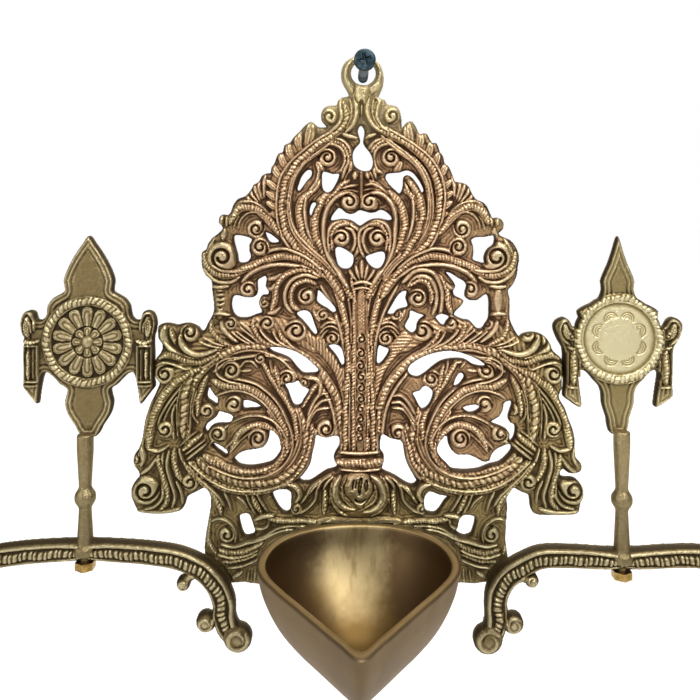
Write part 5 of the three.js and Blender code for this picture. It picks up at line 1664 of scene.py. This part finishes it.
@dataclass
class SideArm:
    """A beaded arm that carries a medallion on a stem, with scroll ends.

    Its line runs from under the medallion to its inner knob. The knobs are x, z and radius in
    drawing units, and the rest is in millimetres. `outer` is 1 where the outer edge lies to
    the left of the line, or -1.
    """

    side: str
    centre_line: Array
    branches: Sequence[Array]
    knobs: Sequence[Point3]
    outer: int
    material: bpy.types.Material
    half_width: float = 4.1
    bend_half_width: float = 4.6
    branch_half_widths: Point = (2.2, 1.8)
    rounding: float = 2.4
    limit: float = 14.7
    carving: float = 2.1
    bead_pitch: float = 2.0

    def build(self) -> None:
        """Carves, casts and dresses the arm."""
        node = f"{self.side}_arm"
        middle = self.centre_line[0, 0]
        area = Field(node, GRID_STEP, middle)
        lines = [(self.centre_line, self.half_width, self.bend_half_width)]
        lines += [(branch, *self.branch_half_widths) for branch in self.branches]
        bars = lines + [(flipped(points, middle), a, b) for points, a, b in lines]
        discs = [(*line(x, y)[0], r * DRAWING_UNIT) for x, y, r in self.knobs]
        discs += [(2 * middle - x, z, r) for x, z, r in discs]
        from_bars(area, bars, discs)
        area.height = np.full(area.gx.shape, 0.5)
        first, last = (2 * half for half in self.branch_half_widths)
        for side in (1, -1):
            for branch in self.branches:
                points = branch if side > 0 else flipped(branch, middle)
                area.carve(points, first, last, 1.3,
                           lambda u, s, d: band_section(Band.BEADS, u, s, d, 1.5))
            points = self.centre_line if side > 0 else flipped(self.centre_line, middle)
            self._carve_bar(area, points, self.outer * side)
        for x, z, radius in discs:
            self._carve_knob(area, x, z, radius)
        area.height += 0.1 * uneven(area, 1.0, 8) + 0.14 * uneven(area, 3.5, 9)
        area.soften()
        casting = Casting(f"{node}_cast", area, ARM_FRONT - 1.6, ARM_BACK,
                          self.rounding, back_rounding=1.0, limit=self.limit)
        dress(casting.build(), self.material, "lamp", node)

    def _carve_bar(self, area: Field, points: Array, outer: int) -> None:
        """Lays the arm's outer rim, beads and inner rim along one half."""
        def section(u: Array, s: Array, d: Array) -> Array:
            """Heights from the outer rim, at v = 1, over the beads to the inner rim."""
            v = u * outer
            rim = 0.2 + 0.6 * half_round((v - 0.74) / 0.27)
            bars = 0.05 + 0.9 * bead_row(v + 0.1, s, self.bead_pitch, 0.42)
            inner = 0.15 + 0.5 * half_round((v + 0.84) / 0.16)
            return np.where(v > 0.47, rim, np.where(v < -0.68, inner, bars))
        area.carve(points, 2 * self.half_width, 2 * self.bend_half_width, self.carving, section)

    def _carve_knob(self, area: Field, x: float, z: float, radius: float) -> None:
        """Winds a scroll onto a round end."""
        far = np.hypot(area.gx - x, area.gz - z)
        t = np.linspace(0, 1, 60)
        angle = 0.6 + 2 * math.pi * 1.35 * t * (1 if x < self.centre_line[0, 0] else -1)
        r = radius * 0.8 * (1 - t) ** 0.8 + radius * 0.2 * t
        area.height = np.where(far < radius, 0.7, area.height)
        area.carve(spiral(x, z, r, angle), radius * 0.62, radius * 0.4, 1.7,
                   lambda u, s, d: ridge_height(u))
        eye = radius * 0.4
        area.height = np.where(far < eye, 0.9 + 0.8 * half_round(far / eye), area.height)


@dataclass
class Medallion:
    """A round boss with a beaded border, a finial above and below, and side ribbons.

    Its centre is in drawing units and its sizes are in millimetres. Its middle is a plain
    dish with engraved crescents, or a rosette.
    """

    side: str
    centre: Point
    material: bpy.types.Material
    ribbon: str
    dished: bool
    ring_radius: float = 18.4
    ring_width: float = 4.0
    limit: float = 10.3
    dish_radius: float = 14.2
    crescent_ring: float = 10.6
    crescents: int = 8
    boss_radius: float = 2.6
    inner_petals: float = 6.4
    outer_petals: float = 14.3

    def build(self) -> None:
        """Carves, casts and dresses the medallion."""
        node = f"{self.side}_medallion"
        middle = line(*self.centre)[0]
        area = Field(node, GRID_STEP, middle[0])
        area.outline_from_loops(smooth_loops(node, GRID_STEP))
        inside = np.clip(area.inside, 0, None)
        wave = 0.5 + 0.5 * np.cos(2 * math.pi * (inside - 0.8) / 1.7)
        area.height = 0.5 + 1.1 * wave * np.exp(-inside / 6)
        area.carve_table(self.ribbon)
        far = np.hypot(area.gx - middle[0], area.gz - middle[1])
        turn = np.arctan2(area.gz - middle[1], area.gx - middle[0])
        face = self._dish(far, turn) if self.dished else self._rosette(far, turn)
        area.height = np.where(far < self.ring_radius, face, area.height)
        area.height += (0.03 if self.dished else 0.08) * uneven(area, 1.0, 11)
        area.soften()
        casting = Casting(f"{node}_cast", area, PLATE_FRONT, PLATE_BACK, limit=self.limit)
        dress(casting.build(), self.material, "lamp", node)

    def _bordered(self, far: Array, turn: Array, ground: float) -> Array:
        """The beaded border ring round a level ground."""
        radius = self.ring_radius - self.ring_width / 2
        place = far - radius
        u = np.clip(place / (self.ring_width / 2), -1, 1)
        pitch = 2 * math.pi * radius / round(2 * math.pi * radius / 2.0)
        border = 2.5 * band_section(Band.BEADS, u, turn * radius, place, pitch)
        return np.where(far > self.ring_radius - self.ring_width, border, ground)

    def _rosette(self, far: Array, turn: Array) -> Array:
        """Rings of nested petals round a boss."""
        def petals(inner: float, outer: float, count: int, shift: float) -> Array:
            """Heights of one ring of petals."""
            across = ((turn / (2 * math.pi) * count + shift) % 1.0) - 0.5
            along = np.clip((far - inner) / (outer - inner), 0, 1)
            rim = np.sqrt(np.clip(1 - (across / 0.47) ** 2 - along ** 5, 0, 1))
            lines = sum(bell(rim - place, 0.07) for place in (0.34, 0.62, 0.86))
            return 0.5 + 1.5 * np.clip(rim * 2.4, 0, 1) - 0.75 * lines
        out = self._bordered(far, turn, 0.35)
        boss, inner, outer = self.boss_radius, self.inner_petals, self.outer_petals
        out = np.where(far < outer, petals(inner, outer, 14, 0.0), out)
        out = np.where(far < inner, petals(boss, inner - 0.2, 8, 0.5), out)
        return np.where(far < boss, 0.9 + 1.4 * half_round(far / boss), out)

    def _dish(self, far: Array, turn: Array) -> Array:
        """A plain dish with engraved crescents."""
        bowl = 1.9 - 1.2 * (far / self.dish_radius) ** 2
        ring, count = self.crescent_ring, self.crescents
        across = (((turn / (2 * math.pi) * count) % 1.0) - 0.5) * 2 * math.pi * ring / count
        for radius in (1.4, 2.3, 3.2):
            arc = np.hypot(across, far - ring + 2.6) - radius
            bowl = bowl - 0.8 * bell(arc, 0.3) * (far > ring - 2.0)
        return np.where(far < self.dish_radius, bowl, self._bordered(far, turn, 0.9))


@dataclass
class OilBowl:
    """The smooth bowl with its pinched spout and the lug behind it, in millimetres.

    Its levels shrink towards a point at the depth `centre`. The rim's shares are of its half
    width and length, the wall's of its depth and the rim's size, and the lug's side is given
    by depth and height.
    """

    material: bpy.types.Material
    middle_x: float = -2.7
    rim_z: float = -182.2
    half_width: float = 36.0
    back: float = 11.0
    length: float = 90.0
    centre: float = 47.0
    depth: float = 37.0
    wall: float = 3.3
    floor: float = 3.2
    sides: int = 160
    lug_width: float = 28.0
    lug_side: tuple[Point, ...] = (
        (7.7, -184.0), (13.2, -184.0), (13.2, -186.0), (14.4, -190.0), (16.6, -196.0),
        (19.4, -201.9), (7.7, -201.9),
    )
    lug_rounding: float = 0.7
    rim_shares: tuple[Point, ...] = (
        (0.0, 0.0), (0.361, 0.018), (0.639, 0.073), (0.861, 0.162), (0.972, 0.264),
        (1.0, 0.378), (0.944, 0.471), (0.778, 0.584), (0.569, 0.7), (0.361, 0.816),
        (0.178, 0.916), (0.0, 1.0),
    )
    wall_shares: tuple[Point, ...] = (
        (0.0, 1.0), (0.22, 0.95), (0.47, 0.83), (0.65, 0.69), (0.82, 0.5), (0.94, 0.31),
        (1.0, 0.14),
    )

    def build(self) -> None:
        """Shapes and dresses the bowl with its lug."""
        rim = self._rim()
        outer = self._levels(0.0, self.depth)
        inner = self._levels(self.wall, self.depth - self.floor)
        lip = [(1 - self.wall * (0.5 - 0.5 * math.cos(a)) / self.half_width, 0.5 * math.sin(a))
               for a in np.linspace(0, math.pi, 7)[1:-1]]
        levels = [(0.0, -self.depth), *outer[::-1], *lip, *inner, (0.0, self.floor - self.depth)]
        points = []
        for size, z in levels:
            deep = self.centre + (rim[:, 1] - self.centre) * size
            points.append(np.stack([self.middle_x + rim[:, 0] * size, -deep,
                                    np.full(len(rim), self.rim_z + z)], axis=1))
        made = ring_mesh("oil_bowl_cast", np.vstack(points), len(rim), 50.0)
        share = np.clip((np.arange(len(levels)) - 1 - len(outer)) / (len(lip) + 1), 0, 1)
        add_attribute(made, "inner", np.repeat(share, len(rim)))
        close_ends(made)
        join(made, [self._lug()])
        dress(made, self.material, "lamp", "oil_bowl")

    def _rim(self) -> Array:
        """Points of the rim: distance from the middle line, and depth."""
        right = np.array(self.rim_shares) * (self.half_width, self.length) + (0.0, self.back)
        left = right[1:-1][::-1] * (-1.0, 1.0)
        loop = smooth_line(np.vstack([right, left]), 0.4, closed=True)
        run = np.concatenate([[0], np.cumsum(np.linalg.norm(np.diff(loop, axis=0), axis=1))])
        at = np.linspace(0, run[-1], self.sides, endpoint=False)
        return np.stack([np.interp(at, run, loop[:, k]) for k in (0, 1)], axis=1)

    def _levels(self, inset: float, depth: float) -> list[Point]:
        """Size and height of each level, from the rim down.

        Args:
            inset: How far inside the outer face the surface lies.
            depth: Its depth below the rim.

        Returns:
            Share of the rim's size, and height from the rim, at each level.
        """
        shares = smooth_line(np.array(self.wall_shares), 0.03)
        scale = 1 - inset / self.half_width
        return [(float(size) * scale, -float(share) * depth) for share, size in shares]

    def _lug(self) -> bpy.types.Object:
        """The block behind the bowl that lies against the panel."""
        half, count = self.lug_width / 2, len(self.lug_side)
        bm = bmesh.new()
        verts = [bm.verts.new([c * MM for c in (self.middle_x + x, -y, z)])
                 for x in (-half, half) for y, z in self.lug_side]
        bm.faces.new(verts[:count])
        bm.faces.new(verts[count:][::-1])
        for i in range(count):
            j = (i + 1) % count
            bm.faces.new((verts[j], verts[i], verts[i + count], verts[j + count]))
        bmesh.ops.recalc_face_normals(bm, faces=bm.faces)
        bmesh.ops.bevel(bm, geom=list(bm.edges), offset=self.lug_rounding * MM, segments=3,
                        affect="EDGES", profile=0.5)
        mesh = bpy.data.meshes.new("lug")
        bm.to_mesh(mesh)
        bm.free()
        mesh.shade_smooth()
        made = bpy.data.objects.new("lug", mesh)
        bpy.context.scene.collection.objects.link(made)
        return made


def join(first: bpy.types.Object, others: Sequence[bpy.types.Object]) -> None:
    """Joins other objects into the first."""
    bm = bmesh.new()
    for piece in [first, *others]:
        bm.from_mesh(piece.data)
    bm.to_mesh(first.data)
    bm.free()
    for piece in others:
        bpy.data.objects.remove(piece)


@dataclass
class Fasteners:
    """The wall screw, the stems and the small steel and brass fasteners, in millimetres.

    The recess sizes are half the length and half the width of the cross's arms, and
    `stem_lap` is how far a stem's end laps its medallion's foot.
    """

    brass: bpy.types.Material
    # The darker copy of the carved brass, with painted shade, for the stems.
    arm_brass: bpy.types.Material
    steel: bpy.types.Material
    black: bpy.types.Material
    head_radius: float = 4.2
    head_dome: float = 0.5
    recess_length: float = 2.3
    recess_width: float = 0.55
    recess_depth: float = 1.7
    stem_lap: float = 2.4

    def build(self) -> None:
        """Makes the screw and stems, and dresses the CAD's small fasteners."""
        self._screw()
        self._stem("left", -110.9, 45.3)
        self._stem("right", 102.3, 49.6)
        for name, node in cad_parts.items():
            kind = name.rsplit("_", 1)[-1]
            if kind in ("washer", "nut") and "stem" not in name:
                self._carry(node, self.steel)
            elif kind in ("stud", "link", "rivet") or name.endswith("stem_nut"):
                self._carry(node, self.brass)

    def _carry(self, node: bpy.types.Object, material: bpy.types.Material) -> None:
        """Gives a CAD node that stays its finish."""
        node.data.materials.clear()
        node.data.materials.append(material)
        node.data.set_sharp_from_angle(angle=math.radians(35))

    def _screw(self) -> None:
        """The wall screw: a domed head with a cross recess, and its shank."""
        area = Field("wall_screw", 0.12)
        far = np.hypot(area.gx, area.gz)
        area.inside = self.head_radius - far
        turn = math.radians(15)
        u = np.abs(area.gx * math.cos(turn) + area.gz * math.sin(turn))
        v = np.abs(area.gz * math.cos(turn) - area.gx * math.sin(turn))
        dome = self.head_dome * np.clip(1 - (far / self.head_radius) ** 2, 0, 1)
        recess = (u < self.recess_length) & (v < self.recess_width)
        recess |= (v < self.recess_length) & (u < self.recess_width)
        area.height = dome + blurred(np.where(recess, 0.4 * far - self.recess_depth, 0.0), 1)
        head = Casting("screw_head", area, front=22.1, back=19.3, rounding=0.7,
                       back_rounding=0.3, limit=22.6).build()
        shank = rounded_profile(
            [(0, -26), (1.5, -20), (2.1, -17.9), (2.1, 19.2), (3.4, 20.4), (0, 20.4)], 0.5)
        join(head, [turned_mesh("shank", shank, 0, None, 48), self._thread()])
        head.name = "wall_screw_turned"
        add_missing_wear(head)
        dress(head, self.black, "wall_screw", "wall_screw")

    def _thread(self) -> bpy.types.Object:
        """A raised thread wound round the shank inside the wall."""
        turns, pitch, steps = 12, 1.5, 24
        t = np.linspace(0, turns, turns * steps + 1)
        angle, y = 2 * math.pi * t, 24.0 - pitch * t
        fade = np.clip(np.minimum(t, turns - t), 0, 1)
        rings = [np.stack([r * np.cos(angle), y + shift, r * np.sin(angle)], axis=1)
                 for r, shift in ((1.75, -0.45), (1.95 + 0.25 * fade, 0.0), (1.75, 0.45))]
        n = len(t)
        i = np.arange(n - 1)
        faces = [np.stack([a * n + i, a * n + i + 1, b * n + i + 1, b * n + i], axis=1)
                 for a, b in ((0, 1), (1, 2), (2, 0))]
        return mesh_object("thread", np.concatenate(rings) * MM, np.vstack(faces), 30.0)

    def _stem(self, side: str, x: float, height: float) -> None:
        """The turned stem between an arm and its medallion.

        Args:
            side: Which side it is on.
            x: x of its axis, in millimetres.
            height: Its height above its seat on the arm.
        """
        low, high = box_mm(f"{side}_stem")
        foot, top, depth = low[2], high[2], (abs(low[1]) + abs(high[1])) / 2
        seat, end = top - height, top + self.stem_lap
        mid = (seat + top) / 2
        corners = [
            (0, foot), (1.8, foot), (1.8, seat), (4.6, seat), (4.6, seat + 3), (3.2, seat + 4.4),
            (2.6, mid - 8), (2.4, mid - 4), (4.1, mid - 1.2), (4.1, mid + 1.2), (2.4, mid + 4),
            (2.6, mid + 8), (3.2, top - 4), (3.2, end), (0, end),
        ]
        made = turned_mesh(f"{side}_stem_turned", rounded_profile(corners, 0.9), x, depth, 56)
        add_missing_wear(made)
        dress(made, self.arm_brass, "lamp", f"{side}_stem")


def add_missing_wear(piece: bpy.types.Object) -> None:
    """Gives a piece that was turned rather than carved an even wear."""
    old = piece.data.attributes.get("wear")
    if old is not None:
        piece.data.attributes.remove(old)
    add_attribute(piece, "wear", np.full(len(piece.data.vertices), TURNED_WEAR))


@dataclass
class Studio:
    """The pale floor, the white surround and the soft lamps, in metres."""

    floor_z: float = -0.33
    floor_size: float = 16.0
    aim: Point3 = (0.0, -0.01, -0.11)

    def build(self) -> None:
        """Makes the floor, the surround and the lamps."""
        self._floor()
        self._surround()
        self._lamp("key", (0.4, -0.7, 0.6), 0.6, 9.5)
        self._lamp("fill", (-0.8, -0.7, 0.15), 0.6, 4.5)
        self._lamp("top", (0.05, -0.16, 0.7), 0.5, 5.0)
        self._lamp("behind", (0.2, 0.8, 0.45), 0.8, 5.0)

    def _floor(self) -> None:
        """A plain pale floor below the lamp."""
        half = self.floor_size / 2
        points = np.array([(x * half, y * half, self.floor_z)
                           for x, y in ((-1, -1), (1, -1), (1, 1), (-1, 1))])
        floor = mesh_object("floor", points, np.array([[0, 1, 2, 3]]))
        shader = Shader("pale_floor")
        plain = shader.node("ShaderNodeBsdfDiffuse", inputs={"Color": (0.88, 0.88, 0.88, 1.0)})
        bright = shader.node("ShaderNodeEmission", inputs={
            "Color": (1.0, 1.0, 1.0, 1.0), "Strength": 1.25})
        both = shader.node("ShaderNodeMixShader", inputs={
            0: shader.light_path("Is Camera Ray") * 0.72, 1: plain, 2: bright})
        shader.node("ShaderNodeOutputMaterial", inputs={"Surface": both})
        floor.data.materials.append(shader.material)

    def _surround(self) -> None:
        """White behind the lamp, and a dimmer room in front of it for the metal to mirror."""
        world = bpy.data.worlds.new("surround")
        bpy.context.scene.world = world
        world.use_nodes = True
        shader = Shader("surround_nodes")
        shader.tree = world.node_tree
        shader.tree.nodes.clear()
        way = shader.node("ShaderNodeTexCoord", output="Generated")
        behind = shader.step(shader.axis(way, "Y"), -0.25, 0.2)
        room = 0.1 + shader.step(shader.axis(way, "Z"), -0.3, 0.9) * 0.5
        mirrored = behind * 0.35 + (1.0 - behind) * room
        camera, mirror, through = (
            shader.light_path(f"Is {ray} Ray") for ray in ("Camera", "Glossy", "Transmission"))
        seen = camera + mirror + through
        level = camera + (mirror + through) * mirrored + (1.0 - seen) * 0.4
        back = shader.node("ShaderNodeBackground", inputs={
            "Color": (1.0, 1.0, 1.0, 1.0), "Strength": level})
        shader.node("ShaderNodeOutputWorld", inputs={"Surface": back})
        bpy.data.materials.remove(shader.material)

    def _lamp(self, name: str, place: Point3, size: float, power: float) -> None:
        """One square soft lamp that looks at the tree.

        Args:
            name: Its name.
            place: Where it stands, in metres.
            size: Its side, in metres.
            power: Its power, in watts.
        """
        data = bpy.data.lights.new(name, "AREA")
        data.size = size
        data.energy = power
        lamp = bpy.data.objects.new(name, data)
        lamp.location = place
        way = Vector(self.aim) - Vector(place)
        lamp.rotation_euler = way.to_track_quat("-Z", "Y").to_euler()
        bpy.context.scene.collection.objects.link(lamp)


def main() -> None:
    """Builds the lamp's pieces in order, and the studio round them."""
    bpy.context.scene.view_settings.view_transform = "Standard"
    studio_camera()
    carved = CarvedBrass("carved_brass").make()
    # A copy of the carved brass for the arms, the left medallion and the stems: darker body and
    # hollows as painted shade, and paler crests.
    arm = CarvedBrass("arm_brass", crest="d0c29a", body="7f6e4a", hollow="2a200f",
                      warmth=0.0).make()
    cream = CarvedBrass("cream_brass", crest="bcae88", body="87774f", hollow="2e2412",
                        warmth=0.0, dish=((0.1023, -0.04, -0.1095), 0.0349)).make()
    steel = PlainMetal("plain_steel", "8d8f90", "6c6a66").make()
    black = PlainMetal("black_steel", "2a3a41", "4e5f66", 0.8, 0.4).make()
    small = PlainMetal("fastener_brass", "a5864c", "7a6032").make()
    TreePanel(carved).build()
    OilBowl(SpunBrass("bowl_brass").make()).build()
    SideArm("left", LEFT_ARM,
            (line(205, 570, 214, 587.5, 218.5, 605, 214, 616.5, 207, 618.5),
             line(200, 568.5, 191.5, 572.5, 184.5, 580.5)),
            ((238.5, 634.5, 14), (207, 618.5, 9.75), (184.5, 580.5, 6.75)), 1, arm).build()
    SideArm("right", RIGHT_ARM,
            (line(515, 572.5, 504, 588.5, 500.5, 605, 505, 618.5, 512, 620),
             line(511.5, 577.5, 520, 574, 530.5, 577.5)),
            ((487, 636, 14.5), (512, 620, 10.25), (530.5, 577.5, 6.75)), -1, arm).build()
    Medallion("left", (87, 342), arm, LEFT_RIBBON, False).build()
    Medallion("right", (620, 339), cream, RIGHT_RIBBON, True).build()
    Fasteners(small, arm, steel, black).build()
    Studio().build()


if __name__ == "__main__":
    main()
